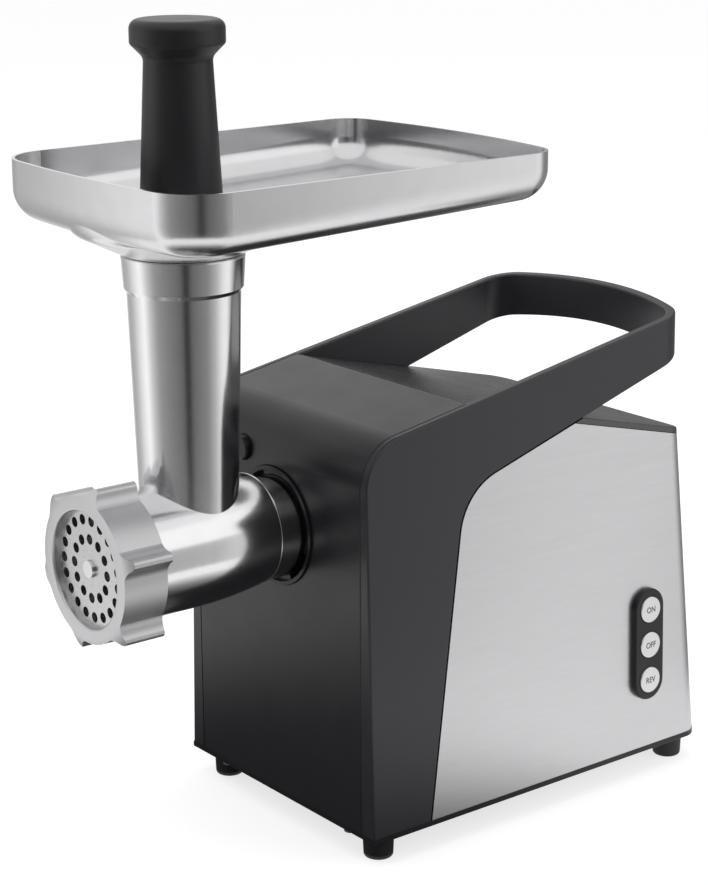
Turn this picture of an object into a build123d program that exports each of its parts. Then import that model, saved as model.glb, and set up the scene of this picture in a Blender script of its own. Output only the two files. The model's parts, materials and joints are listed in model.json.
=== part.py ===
from build123d import *
import math
import os

# Electric meat grinder: a motor base with a fixed handle, a cast grinding head with its screw,
# blade, plate and ring nut, a feed tray and a pusher.
# Every piece is drawn with y = 0 on the front wall of the body, x = 0 on the middle plane and
# z = 0 on the table. save() sets it into the part's frame, whose origin is the middle of the
# footprint. The front faces -Y and the buttons are on the +X side.

# Body
BASE_WIDTH = 140.0
BASE_DEPTH = 202.4
BASE_BOTTOM = 12.2
BASE_THICKNESS = 2.8
SIDE_DRAFT = 1.8
REAR_LEAN = 4.8
REAR_CORNER = 9.0
PLASTIC_WALL = 2.5
SEAM = 0.3
BASE_EDGE = 0.5

# Base plate
RIB_HEIGHT = 7.0
RIB_WIDTH = 2.0
VENT_LENGTH = 34.0
VENT_WIDTH = 3.0
VENT_PITCH = 8.0
VENT_COUNT = 8
VENT_Y = 100.0
POST_INSET = 10.4
POST_RADIUS = 4.0
POST_HEIGHT = 24.0
POST_ROOT = 1.2

# Front cover
FRONT_INSET = 9.1
FRONT_SHOULDER_Z = 189.2
FRONT_TOP_SLOPE = 10.0
FRONT_TOP_DEPTH = 57.5
FRONT_ROUND = 22.0
COVER_LEDGE = 8.0
FRONT_EDGE = 0.6
BOSS_RADIUS = 5.0

# Handle frame
HANDLE_SETBACK = 0.5
HANDLE_WALL = 4.6
HANDLE_BOW = 140.0
HANDLE_CORNER = 18.0
PILLAR_FOOT = 32.5
PILLAR_LEAN = 8.4
ARM_LOW_Z = 145.8
ARM_LOW_SLOPE = 16.6
PILLAR_ROUND = 29.0
HANDLE_EDGE = 1.0

# Steel wrap, rear housing and top cover
STEEL = 1.0
BOND = 0.1
HOUSING_WALL = 2.0
COVER_SLOPE = 13.8
COVER_THICKNESS = 2.6
COVER_EDGE = 0.8

# Feet
FOOT_RADIUS = 7.1
FOOT_SIDE_INSET = 12.6
FOOT_FRONT_INSET = 12.2
FOOT_REAR_INSET = 9.8
FOOT_STUD_RADIUS = 3.0
FOOT_STUD = 2.0
FOOT_TAPER = 0.5
FOOT_ROUND = 1.4

# Buttons
PANEL_INSET = 37.6
PANEL_Z = 66.8
BEZEL_HEIGHT = 54.7
BEZEL_WIDTH = 18.4
BEZEL_PROUD = 2.9
BEZEL_SPIGOT = 8.0
BEZEL_LIP = 1.6
BUTTON_RADIUS = 6.3
BUTTON_PITCH = 17.4
BUTTON_PROUD = 0.7
BUTTON_TRAVEL = 1.5
BUTTON_FLANGE = 1.5
BUTTON_STEM = 3.0
BOARD_THICKNESS = 1.6
SWITCH_SIDE = 6.0
SWITCH_HEIGHT = 4.0
BOARD_WIDTH = 20.0
BOARD_POST_RADIUS = 3.0
BOARD_POST_MARGIN = 2.0
FLANGE_REACH = 0.9
STEM_RADIUS = 2.0
CAP_DOME = 0.6
PLUNGER_RADIUS = 1.7
PLUNGER = 0.8

# Cord inlet
INLET_STEP = 11.0
INLET_Z = 36.0
INLET_BORE = 3.6
INLET_WALL = 2.2
INLET_FLANGE = 2.6
INLET_PROUD = 2.0
INLET_REACH = 7.0

# Grinding head
AXIS_Z = 141.4
HEAD_REACH = 98.8
RING_DEPTH = 21.1
RING_LIP = 3.5
RING_OPENING = 25.2
RING_BODY_RADIUS = 31.8
RING_TIP_RADIUS = 37.7
RING_RIB_HALF = 2.2
RING_RIB_BASE = 9.5
RING_RIB_CROWN = 1.6
RING_RIB_HOLLOW = 1.6
RING_FACE = 29.0
RING_NOSE = 2.6
RING_EDGE = 1.2
RING_RIBS = 6
RING_PHASE = 17.0
PLATE_RADIUS = 26.6
PLATE_THICKNESS = 5.0
PLATE_HOLE = 2.25
PLATE_INNER_CIRCLE = 12.9
PLATE_INNER_HOLES = 12
PLATE_OUTER_CIRCLE = 21.1
PLATE_OUTER_HOLES = 19
THREAD_RADIUS = 28.8
RIM_SETBACK = 1.9
BLADE_RADIUS = 24.0
BLADE_THICKNESS = 5.0
BLADE_ARM = 8.0
BLADE_HUB = 9.0
BLADE_ARMS = 4
BLADE_TIP = 5.5
CHAMBER_ROOM = 1.0
BARREL_FRONT_RADIUS = 27.9
BARREL_REAR_RADIUS = 24.5
BARREL_RISE = 1.5
BARREL_TAPER_Y = -50.0
BARREL_END = 13.7
BARREL_BORE = 20.4
BARREL_FLOOR = 6.5
NECK_RADIUS = 22.7
NECK_CUP = 18.0
NECK_END = 8.0
TUBE_Y = -45.1
TUBE_LOW_RADIUS = 21.6
TUBE_LOW_Z = 171.5
TUBE_TOP_RADIUS = 24.0
TUBE_TOP_Z = 253.7
COLLAR_LOW_RADIUS = 25.2
COLLAR_TOP_RADIUS = 26.1
COLLAR_LOW_Z = 255.5
COLLAR_TOP_Z = 269.7
COLLAR_ROUND = 1.2
TUBE_WALL = 2.4
THROAT_RADIUS = 17.5
LEDGE_Z = 172.0
RUNNING = 0.1
FREE = 0.3

# Bayonet
SOCKET_RADIUS = 27.0
SOCKET_FRONT = -1.0
SOCKET_GUARD = 2.0
SOCKET_LIP = 2.0
LUG_RADIUS = 25.0
LUG_ANGLE = 38.0
LUG_LENGTH = 4.2
LUG_COUNT = 2
SLOT_PLAY = 6.0
TWIST = 45.0

# Release button
RELEASE_X = -23.4
RELEASE_Z = 172.2
RELEASE_RADIUS = 5.7
RELEASE_PROUD = 2.6
RELEASE_SEAT = 1.0
RELEASE_FLANGE = 1.5
RELEASE_ROUND = 1.2

# Feed screw and its drive
SCREW_CORE = 8.0
SCREW_CLEARANCE = 0.5
SCREW_PITCH = 24.0
FLIGHT_THICKNESS = 4.0
FLIGHT_ROOT = 1.0
JOURNAL_RADIUS = 8.5
TANG = 12.0
TANG_LENGTH = 11.0
TANG_CLEARANCE = 0.2
PIN_RADIUS = 3.7
PIN_PROUD = 1.5
BLADE_SQUARE = 9.0
WASHER_THICKNESS = 1.5
WASHER_RADIUS = 14.0
COUPLER_RADIUS = 13.0
COUPLER_FRONT = -6.0

# Feed tray
TRAY_HALF_WIDTH = 72.4
TRAY_FRONT = -95.2
TRAY_REAR = 106.5
TRAY_RIM_Z = 306.2
TRAY_FLOOR_Z = 280.4
TRAY_FLOOR_SLOPE = 1.8
TRAY_FRONT_CORNER = 23.0
TRAY_REAR_CORNER = 15.5
TRAY_FRONT_BOW = 4.9
TRAY_REAR_BOW = 7.5
TRAY_ROUND = 14.0
TRAY_WALL = 1.4
TRAY_NECK_RADIUS = 22.3
TRAY_NECK_DEPTH = 11.0
TRAY_FUNNEL_SLOPE = 26.0
TRAY_BOWL_RADIUS = 48.0
TRAY_BOWL_ROUND = 8.0

# Pusher
PUSHER_RADIUS = 18.6
PUSHER_TAPER_Z = 266.0
PUSHER_GRIP_RADIUS = 14.2
PUSHER_GRIP_Z = 350.0
PUSHER_HEAD_RADIUS = 19.7
PUSHER_HEAD_Z = 355.5
PUSHER_TOP_Z = 365.4
PUSHER_HEAD_ROUND = 4.0

# Gear train, from the motor to the drive shaft
PRESSURE_ANGLE = 25.0
ADDENDUM = 0.8
DEDENDUM = 1.05
BACKLASH = 0.24
MOTOR_Z = 62.0
PINION_TEETH = 9
FIRST_TEETH = 54
FIRST_MODULE = 1.0
FIRST_PINION_TEETH = 12
SECOND_TEETH = 44
SECOND_MODULE = 1.25
SECOND_PINION_TEETH = 13
OUTPUT_TEETH = 42
OUTPUT_MODULE = 1.5
SECOND_OFFSET_X = 16.0
CASE_FRONT = 9.0
CASE_WALL = 4.0
CASE_SIDE = 3.0
CASE_ROOM = 3.0
EAR_LEFT_TURN = 165.0
EAR_RIGHT_TURN = 20.0
EAR_LOW_LEFT_TURN = 205.0
EAR_LOW_RIGHT_TURN = -45.0
GEAR_GAP = 2.0
OUTPUT_WIDTH = 12.0
SECOND_WIDTH = 8.0
FIRST_WIDTH = 7.0
AXLE_RADIUS = 4.0
FIRST_AXLE_RADIUS = 3.0
AXLE_SEAT = 2.5
SHAFT_RADIUS = 8.0
SHAFT_REAR_RADIUS = 6.0
SHAFT_ROOM = 2.0
BUSH_WALL = 2.5
SNUG = 0.02

# Motor
MOTOR_SHAFT_RADIUS = 4.0
PINION_BORE = 2.4
BEARING_RADIUS = 11.0
BEARING_WIDTH = 7.0
BRACKET_THICKNESS = 4.0
BRACKET_HALF_WIDTH = 34.0
BRACKET_HALF_HEIGHT = 15.0
FAN_RADIUS = 27.0
FAN_WIDTH = 9.0
FAN_BLADES = 8
FAN_PLATE = 1.6
FAN_HUB = 9.0
STATOR_HALF_WIDTH = 36.0
STATOR_HALF_HEIGHT = 31.0
STATOR_LENGTH = 42.0
STATOR_CORNER = 8.0
ARMATURE_RADIUS = 18.0
AIR_GAP = 0.5
ARMATURE_SLOTS = 12
SLOT_INNER = 8.5
SLOT_OUTER = 15.5
SLOT_WIDTH = 2.6
WINDING_OVERHANG = 6.0
COIL_OVERHANG = 7.0
COIL_WIDTH = 7.6
COIL_LEG = 6.0
COIL_SPLIT = 2.0
COIL_HEIGHT = 9.0
COMMUTATOR_RADIUS = 11.0
COMMUTATOR_LENGTH = 14.0
BRUSH_SIDE = 6.0
BRUSH_LENGTH = 14.0
BRUSH_TUBE = 1.2
BOLT_RADIUS = 2.0
BOLT_X = 31.5
BOLT_THREAD = 3.0
CRADLE_MARGIN = 5.0
CRADLE_INSET = 5.0
CRADLE_LIP = 6.0
SCREW_HEAD_RADIUS = 3.4
SCREW_HEAD = 2.2
SCREW_SHANK = 1.6
SCREW_LENGTH = 8.0

# Derived places
FRONT_Y = (HEAD_REACH - BASE_DEPTH) / 2
FRONT_HALF_WIDTH = BASE_WIDTH / 2 - FRONT_INSET
FOOT_X = BASE_WIDTH / 2 - FOOT_SIDE_INSET
FOOT_REAR_Y = BASE_DEPTH - FOOT_REAR_INSET
POST_X = FOOT_X - POST_INSET
INLET_X = INLET_STEP - POST_X
HANDLE_REAR = BASE_DEPTH - HANDLE_SETBACK
PANEL_Y = BASE_DEPTH - PANEL_INSET
BASE_TOP = BASE_BOTTOM + BASE_THICKNESS
FRONT_RISE = math.tan(math.radians(FRONT_TOP_SLOPE))
ARM_RISE = math.tan(math.radians(ARM_LOW_SLOPE))
COVER_FALL = math.tan(math.radians(COVER_SLOPE))
PILLAR_RUN = math.tan(math.radians(PILLAR_LEAN))
RING_FRONT = -HEAD_REACH
RING_BACK = RING_FRONT + RING_DEPTH
PLATE_FRONT = RING_FRONT + RING_LIP
PLATE_BACK = PLATE_FRONT + PLATE_THICKNESS
BLADE_FRONT = PLATE_BACK + FREE
BLADE_BACK = BLADE_FRONT + BLADE_THICKNESS
BARREL_FLOOR_Y = -BARREL_END
NECK_FLOOR_Y = BARREL_FLOOR_Y + BARREL_FLOOR
RIM_FRONT = PLATE_FRONT + RIM_SETBACK
THREAD_BACK = RING_BACK + FREE
CHAMBER_RADIUS = BLADE_RADIUS + CHAMBER_ROOM
CHAMBER_BACK = BLADE_BACK + CHAMBER_ROOM
SEAT_RADIUS = TRAY_NECK_RADIUS + FREE
SEAT_Z = COLLAR_TOP_Z - TRAY_NECK_DEPTH
BLOCK_TOP = FRONT_SHOULDER_Z + FRONT_RISE * (HANDLE_REAR + HANDLE_CORNER)
GRIND_AXIS = Axis((0, 0, AXIS_Z), (0, 1, 0))
TUBE_AXIS = Axis((0, TUBE_Y, 0), (0, 0, 1))
MOTOR_AXIS = Axis((0, 0, MOTOR_Z), (0, 1, 0))


def side_x(z):
    """Half width of the body at height z."""
    return BASE_WIDTH / 2 - (z - BASE_BOTTOM) * math.tan(math.radians(SIDE_DRAFT))


def rear_y(z):
    """Distance from the front wall to the rear wall at height z."""
    return BASE_DEPTH - (z - BASE_BOTTOM) * math.tan(math.radians(REAR_LEAN))


def front_top_z(y):
    """Height of the front cover's top and of the handle's upper edge."""
    return FRONT_SHOULDER_Z + FRONT_RISE * y


def arm_low_z(y):
    """Height of the arms' lower edge."""
    return ARM_LOW_Z + ARM_RISE * y


def pillar_y(z):
    """Rear edge of the pillars at height z."""
    return PILLAR_FOOT + PILLAR_RUN * (z - BASE_TOP)


def cover_z(y):
    """Height of the top cover's upper face."""
    return front_top_z(FRONT_TOP_DEPTH) - COVER_FALL * (y - FRONT_TOP_DEPTH)


def station(y):
    """Plane across the body at y, with +X to the right and +Z up; its normal points forwards."""
    return Plane.XZ.offset(-y)


def save(piece, name):
    """Set a finished piece into the part's frame and write it."""
    placed = Pos(0, FRONT_Y, 0) * piece.part
    placed.label = name
    export_step(placed, f"parts/{name}.step")


def body_block(inset, bottom):
    """Solid between the body's drafted sides and its leaning rear wall, drawn in by inset."""
    with BuildPart() as block:
        for z in (bottom, BLOCK_TOP):
            half = side_x(z) - inset
            rear = rear_y(z) - inset
            with BuildSketch(Plane.XY.offset(z)) as section:
                with Locations((0, rear / 2)):
                    Rectangle(2 * half, rear)
                fillet(section.vertices().group_by(Axis.Y)[-1], radius=REAR_CORNER - inset)
        loft(ruled=True)
    return block.part


def handle_block(inset):
    """Solid inside the handle's outer faces, drawn in by inset, with a bowed rear."""
    centre_y = HANDLE_REAR - HANDLE_BOW
    with BuildPart() as block:
        with BuildSketch(Plane.XZ):
            with BuildLine():
                Polyline(
                    (-side_x(BASE_TOP) + inset, BASE_TOP),
                    (side_x(BASE_TOP) - inset, BASE_TOP),
                    (side_x(BLOCK_TOP) - inset, BLOCK_TOP),
                    (-side_x(BLOCK_TOP) + inset, BLOCK_TOP),
                    close=True,
                )
            make_face()
        extrude(amount=-HANDLE_REAR)
        with BuildSketch(Plane.XY.offset(BASE_TOP)):
            with Locations((0, centre_y)):
                Circle(HANDLE_BOW - inset)
            with Locations((0, centre_y / 2)):
                Rectangle(2 * HANDLE_BOW, centre_y)
        extrude(amount=BLOCK_TOP - BASE_TOP, mode=Mode.INTERSECT)
        uprights = block.edges().filter_by(lambda e: e.bounding_box().size.Z > BLOCK_TOP / 2)
        fillet(uprights.filter_by(lambda e: e.center().Y > HANDLE_REAR / 2), HANDLE_CORNER - inset)
    return block.part


def frame_profile(gap):
    """Side view of pillar and arm, grown by gap on its rear and lower edges."""
    rear = HANDLE_REAR + HANDLE_CORNER
    drop = gap / math.cos(math.radians(ARM_LOW_SLOPE))
    step = gap / math.cos(math.radians(PILLAR_LEAN))
    corner_y = pillar_corner_y(drop, step)
    with BuildSketch(Plane.YZ) as profile:
        with BuildLine():
            Polyline(
                (0, BASE_TOP),
                (0, FRONT_SHOULDER_Z),
                (rear, front_top_z(rear)),
                (rear, arm_low_z(rear) - drop),
                (corner_y, arm_low_z(corner_y) - drop),
                (PILLAR_FOOT + step, BASE_TOP),
                close=True,
            )
        make_face()
        shoulder = profile.vertices().sort_by_distance((0, FRONT_SHOULDER_Z))[0]
        fillet(shoulder, radius=FRONT_ROUND)
        inner = profile.vertices().sort_by_distance((corner_y, arm_low_z(corner_y) - drop))[0]
        fillet(inner, radius=PILLAR_ROUND - gap)
    return profile.sketch


def pillar_corner_y(drop, step):
    """Where the pillar's rear edge meets the arm's lower edge, both moved out by a seam."""
    run = PILLAR_FOOT + step + PILLAR_RUN * (ARM_LOW_Z - drop - BASE_TOP)
    return run / (1 - PILLAR_RUN * ARM_RISE)


def gear_points(teeth, module, phase):
    """Outline of a spur gear with a tooth centred on the angle phase, in degrees."""
    pitch = teeth * module / 2
    base = pitch * math.cos(math.radians(PRESSURE_ANGLE))
    half_pitch = math.pi / (2 * teeth) - BACKLASH / (4 * pitch)

    def half_angle(radius):
        turn = math.acos(base / max(radius, base))
        start = math.radians(PRESSURE_ANGLE)
        return half_pitch + math.tan(start) - start - math.tan(turn) + turn

    radii = (pitch - DEDENDUM * module, pitch, pitch + ADDENDUM * module)
    flank = [(radius, half_angle(radius)) for radius in radii]
    points = []
    for tooth in range(teeth):
        middle = math.radians(phase) + tooth * 2 * math.pi / teeth
        for radius, half in flank:
            points.append((radius * math.cos(middle - half), radius * math.sin(middle - half)))
        for radius, half in reversed(flank):
            points.append((radius * math.cos(middle + half), radius * math.sin(middle + half)))
    return points


def mesh_distance(teeth, mate_teeth, module):
    """Distance between the axes of two meshed gears."""
    return (teeth + mate_teeth) * module / 2


def tip_radius(teeth, module):
    """Radius of a gear over its teeth."""
    return teeth * module / 2 + ADDENDUM * module


def direction(start, end):
    """Angle in degrees from one gear's axis to another's, seen from the front."""
    return math.degrees(math.atan2(end[1] - start[1], end[0] - start[0]))


def crossing(start, end, start_radius, end_radius):
    """Point at start_radius from start and end_radius from end, on the left-hand side."""
    span = math.dist(start, end)
    along = (start_radius**2 - end_radius**2 + span**2) / (2 * span)
    aside = math.sqrt(start_radius**2 - along**2)
    ux = (end[0] - start[0]) / span
    uz = (end[1] - start[1]) / span
    return (start[0] + along * ux + aside * uz, start[1] + along * uz - aside * ux)


os.makedirs("parts", exist_ok=True)

# Shared solids and places

outer_block = body_block(0, BASE_BOTTOM)
steel_inner = body_block(STEEL, BASE_BOTTOM)
housing_outer = body_block(STEEL + BOND, BASE_BOTTOM)
housing_inner = body_block(STEEL + BOND + HOUSING_WALL, BASE_BOTTOM)

side_normal = Vector(
    math.cos(math.radians(SIDE_DRAFT)), 0, math.sin(math.radians(SIDE_DRAFT))
)
panel_plane = Plane(
    origin=(side_x(PANEL_Z), PANEL_Y, PANEL_Z), x_dir=(0, 1, 0), z_dir=side_normal
)
inlet_plane = Plane(
    origin=(INLET_X, rear_y(INLET_Z), INLET_Z),
    x_dir=(-1, 0, 0),
    z_dir=(0, math.cos(math.radians(REAR_LEAN)), math.sin(math.radians(REAR_LEAN))),
)
button_heights = {"on_button": BUTTON_PITCH, "off_button": 0.0, "reverse_button": -BUTTON_PITCH}
foot_places = {
    "foot_front_left": (-FOOT_X, FOOT_FRONT_INSET),
    "foot_front_right": (FOOT_X, FOOT_FRONT_INSET),
    "foot_rear_left": (-FOOT_X, FOOT_REAR_Y),
    "foot_rear_right": (FOOT_X, FOOT_REAR_Y),
}

output_centre = (0.0, AXIS_Z)
motor_centre = (0.0, MOTOR_Z)
output_distance = mesh_distance(SECOND_PINION_TEETH, OUTPUT_TEETH, OUTPUT_MODULE)
second_distance = mesh_distance(FIRST_PINION_TEETH, SECOND_TEETH, SECOND_MODULE)
first_distance = mesh_distance(PINION_TEETH, FIRST_TEETH, FIRST_MODULE)
second_centre = (
    SECOND_OFFSET_X,
    AXIS_Z - math.sqrt(output_distance**2 - SECOND_OFFSET_X**2),
)
first_centre = crossing(second_centre, motor_centre, second_distance, first_distance)

bolt_places = [(-BOLT_X, MOTOR_Z), (BOLT_X, MOTOR_Z)]
output_y = CASE_FRONT + CASE_WALL + GEAR_GAP
second_y = output_y + OUTPUT_WIDTH + GEAR_GAP
first_y = second_y + SECOND_WIDTH + GEAR_GAP
case_end = first_y + FIRST_WIDTH + GEAR_GAP
cover_end = case_end + CASE_WALL

output_circle = (output_centre, tip_radius(OUTPUT_TEETH, OUTPUT_MODULE))
second_circle = (second_centre, tip_radius(SECOND_TEETH, SECOND_MODULE))
first_circle = (first_centre, tip_radius(FIRST_TEETH, FIRST_MODULE))
pinion_circle = (motor_centre, tip_radius(PINION_TEETH, FIRST_MODULE))
case_circles = [output_circle, second_circle, first_circle, pinion_circle]
ear_turns = [
    (output_circle, EAR_LEFT_TURN),
    (output_circle, EAR_RIGHT_TURN),
    (first_circle, EAR_LOW_LEFT_TURN),
    (second_circle, EAR_LOW_RIGHT_TURN),
]
case_ears = []
for (ear_centre, ear_tip), ear_turn in ear_turns:
    ear_reach = ear_tip + CASE_ROOM + CASE_SIDE + BOSS_RADIUS / 2
    case_ears.append(
        (
            ear_centre[0] + ear_reach * math.cos(math.radians(ear_turn)),
            ear_centre[1] + ear_reach * math.sin(math.radians(ear_turn)),
        )
    )

bracket_boss = BEARING_WIDTH + 2 * FREE
front_bearing_y = cover_end + FREE
fan_y = cover_end + bracket_boss + GEAR_GAP
stator_y = fan_y + FAN_WIDTH + GEAR_GAP + COIL_OVERHANG
stator_end = stator_y + STATOR_LENGTH
commutator_y = stator_end + COIL_OVERHANG + GEAR_GAP
rear_boss_y = commutator_y + COMMUTATOR_LENGTH + GEAR_GAP
rear_bearing_y = rear_boss_y + FREE
rear_bracket_y = rear_boss_y + bracket_boss - BRACKET_THICKNESS
bracket_end = rear_boss_y + bracket_boss
shaft_end = bracket_end - FREE
boss_radius = BEARING_RADIUS + PLASTIC_WALL
pinion_y = first_y - FREE
pinion_end = first_y + FIRST_WIDTH + FREE

housing_depth = STEEL + BOND + HOUSING_WALL
front_post_y = PLASTIC_WALL + POST_RADIUS - POST_ROOT
rear_post_y = rear_y(BASE_TOP + POST_HEIGHT) - housing_depth - POST_RADIUS + POST_ROOT
cradle_y = stator_y + STATOR_LENGTH / 2
base_screw_places = [
    (side * POST_X, y) for side in (-1, 1) for y in (front_post_y, cradle_y, rear_post_y)
]

# Base plate: a tray with a floor, a locating rib inside the walls, vents and screw holes


with BuildPart() as base_plate:
    with BuildSketch(Plane.XY.offset(BASE_BOTTOM)) as floor_outline:
        with Locations((0, BASE_DEPTH / 2)):
            Rectangle(BASE_WIDTH, BASE_DEPTH)
        fillet(floor_outline.vertices().group_by(Axis.Y)[-1], radius=REAR_CORNER)
    extrude(amount=BASE_THICKNESS)
    fillet(base_plate.faces().sort_by(Axis.Z)[0].edges(), radius=BASE_EDGE)
    rib_front = pillar_y(BASE_TOP) + 2 * RIB_WIDTH
    rib_inset = STEEL + BOND + HOUSING_WALL + FREE
    rib_half = side_x(BASE_TOP + RIB_HEIGHT) - rib_inset
    rib_rear = rear_y(BASE_TOP + RIB_HEIGHT) - rib_inset
    with BuildSketch(Plane.XY.offset(BASE_TOP)) as rib_outline:
        with Locations((0, (rib_front + rib_rear) / 2)):
            Rectangle(2 * rib_half, rib_rear - rib_front)
        fillet(rib_outline.vertices().group_by(Axis.Y)[-1], radius=REAR_CORNER - rib_inset)
        with Locations((0, (rib_front + rib_rear) / 2)):
            Rectangle(
                2 * (rib_half - RIB_WIDTH),
                rib_rear - rib_front - 2 * RIB_WIDTH,
                mode=Mode.SUBTRACT,
            )
    extrude(amount=RIB_HEIGHT)
    with BuildSketch(Plane.XY.offset(BASE_TOP)):
        with Locations((-POST_X, rear_post_y), (POST_X, rear_post_y)):
            Rectangle(2 * (POST_RADIUS + FREE), 4 * POST_RADIUS)
    extrude(amount=RIB_HEIGHT, mode=Mode.SUBTRACT)
    with BuildSketch(Plane.XY.offset(BASE_BOTTOM)):
        with Locations((0, VENT_Y)):
            with GridLocations(VENT_LENGTH + 2 * VENT_WIDTH, VENT_PITCH, 2, VENT_COUNT):
                SlotOverall(VENT_LENGTH, VENT_WIDTH)
    extrude(amount=BASE_THICKNESS, mode=Mode.SUBTRACT)
    with Locations(*[(x, y, BASE_BOTTOM) for x, y in foot_places.values()]):
        Cylinder(FOOT_STUD_RADIUS + BOND, 2 * FOOT_STUD, mode=Mode.SUBTRACT)
    with Locations(*[(x, y, BASE_TOP) for x, y in base_screw_places]):
        Cylinder(SCREW_SHANK + BOND, 2 * BASE_THICKNESS, mode=Mode.SUBTRACT)
save(base_plate, "base_plate")

# Feet: turned rubber pads with a stud in the base plate

for foot_name, (foot_x, foot_y) in foot_places.items():
    with BuildPart() as foot:
        with BuildSketch(Plane.XZ) as foot_profile:
            with BuildLine():
                Polyline(
                    (0, 0),
                    (FOOT_RADIUS - FOOT_TAPER, 0),
                    (FOOT_RADIUS, BASE_BOTTOM),
                    (FOOT_STUD_RADIUS, BASE_BOTTOM),
                    (FOOT_STUD_RADIUS, BASE_BOTTOM + FOOT_STUD),
                    (0, BASE_BOTTOM + FOOT_STUD),
                    close=True,
                )
            make_face()
            edge = foot_profile.vertices().sort_by_distance((FOOT_RADIUS - FOOT_TAPER, 0))[0]
            fillet(edge, radius=FOOT_ROUND)
        revolve(axis=Axis.Z)
    foot.part = Pos(foot_x, foot_y, 0) * foot.part
    save(foot, foot_name)

# Front cover: front wall and sloping top in one shell, with bosses that carry the gear case

inner_drop = PLASTIC_WALL / math.cos(math.radians(FRONT_TOP_SLOPE))
cover_under = (COVER_THICKNESS + BOND) / math.cos(math.radians(COVER_SLOPE))
ledge_end = FRONT_TOP_DEPTH + COVER_LEDGE
release_seat = PLASTIC_WALL + RELEASE_SEAT

with BuildPart() as front_cover:
    with BuildSketch(Plane.YZ) as front_profile:
        with BuildLine():
            Polyline(
                (0, BASE_TOP),
                (0, FRONT_SHOULDER_Z),
                (FRONT_TOP_DEPTH, front_top_z(FRONT_TOP_DEPTH)),
                (FRONT_TOP_DEPTH, front_top_z(FRONT_TOP_DEPTH) - inner_drop),
                (PLASTIC_WALL, front_top_z(PLASTIC_WALL) - inner_drop),
                (PLASTIC_WALL, BASE_TOP),
                close=True,
            )
        make_face()
        outer_corner = front_profile.vertices().sort_by_distance((0, FRONT_SHOULDER_Z))[0]
        fillet(outer_corner, radius=FRONT_ROUND)
        inner_corner = front_profile.vertices().sort_by_distance(
            (PLASTIC_WALL, front_top_z(PLASTIC_WALL) - inner_drop)
        )[0]
        fillet(inner_corner, radius=FRONT_ROUND - PLASTIC_WALL)
    extrude(amount=FRONT_HALF_WIDTH, both=True)
    with BuildSketch(Plane.YZ):
        with BuildLine():
            Polyline(
                (FRONT_TOP_DEPTH - COVER_LEDGE, cover_z(FRONT_TOP_DEPTH) - cover_under),
                (FRONT_TOP_DEPTH, cover_z(FRONT_TOP_DEPTH) - cover_under),
                (ledge_end, cover_z(ledge_end) - cover_under),
                (ledge_end, cover_z(ledge_end) - cover_under - PLASTIC_WALL),
                (FRONT_TOP_DEPTH - COVER_LEDGE, cover_z(ledge_end) - cover_under - PLASTIC_WALL),
                close=True,
            )
        make_face()
    extrude(amount=FRONT_HALF_WIDTH - HANDLE_WALL, both=True)
    with BuildSketch(station(PLASTIC_WALL)):
        with Locations(*case_ears):
            Circle(BOSS_RADIUS)
            Circle(SCREW_SHANK + BOND, mode=Mode.SUBTRACT)
    extrude(amount=-(CASE_FRONT - PLASTIC_WALL))
    with BuildSketch(Plane.XY.offset(BASE_TOP)):
        with Locations((-POST_X, front_post_y), (POST_X, front_post_y)):
            Circle(POST_RADIUS)
            Circle(SCREW_SHANK + BOND, mode=Mode.SUBTRACT)
    extrude(amount=POST_HEIGHT)
    with BuildSketch(station(0)):
        with Locations(output_centre):
            Circle(SOCKET_RADIUS + FREE)
        with Locations((RELEASE_X, RELEASE_Z)):
            Circle(RELEASE_RADIUS + FREE)
    extrude(amount=-2 * PLASTIC_WALL, mode=Mode.SUBTRACT)
    with BuildSketch(station(release_seat - FREE)):
        with Locations((RELEASE_X, RELEASE_Z)):
            Circle(RELEASE_RADIUS + FLANGE_REACH + FREE)
    extrude(amount=-2 * PLASTIC_WALL, mode=Mode.SUBTRACT)
    fillet(front_cover.faces().sort_by(Axis.Y)[0].edges().filter_by(Axis.Z), radius=FRONT_EDGE)
save(front_cover, "front_cover")

# Handle frame: pillars, arms and crossbar in one band, with pillars that thicken to the base

frame_side = frame_profile(0)
frame_cut = frame_profile(SEAM)

with BuildPart() as frame_room:
    add(handle_block(HANDLE_WALL))
    with Locations((0, HANDLE_REAR / 2, BLOCK_TOP / 2)):
        Box(2 * (FRONT_HALF_WIDTH + SEAM), 2 * HANDLE_REAR, BLOCK_TOP, mode=Mode.INTERSECT)

with BuildPart() as handle_frame:
    add(handle_block(0))
    add(frame_room.part, mode=Mode.SUBTRACT)
    with Locations((0, FRONT_TOP_DEPTH / 2, BLOCK_TOP / 2)):
        Box(2 * (FRONT_HALF_WIDTH + SEAM), FRONT_TOP_DEPTH + SEAM, BLOCK_TOP, mode=Mode.SUBTRACT)
    extrude(frame_side, amount=BASE_WIDTH, both=True, mode=Mode.INTERSECT)
    side_faces = handle_frame.faces().sort_by(Axis.X)
    side_edges = side_faces[0].edges() + side_faces[-1].edges()
    top_face = handle_frame.faces().filter_by(Axis((0, 0, 0), (0, -FRONT_RISE, 1)))[0]
    loop_front = FRONT_TOP_DEPTH + HANDLE_WALL
    soft_edges = side_edges.filter_by(lambda e: e.center().Z > BASE_TOP + HANDLE_EDGE)
    soft_edges += top_face.edges().filter_by(lambda e: e.center().Y > loop_front)
    fillet(soft_edges, radius=HANDLE_EDGE)
save(handle_frame, "handle_frame")

# Steel wrap: one sheet round both sides and the rear, cut to the handle frame and the top cover

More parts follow.
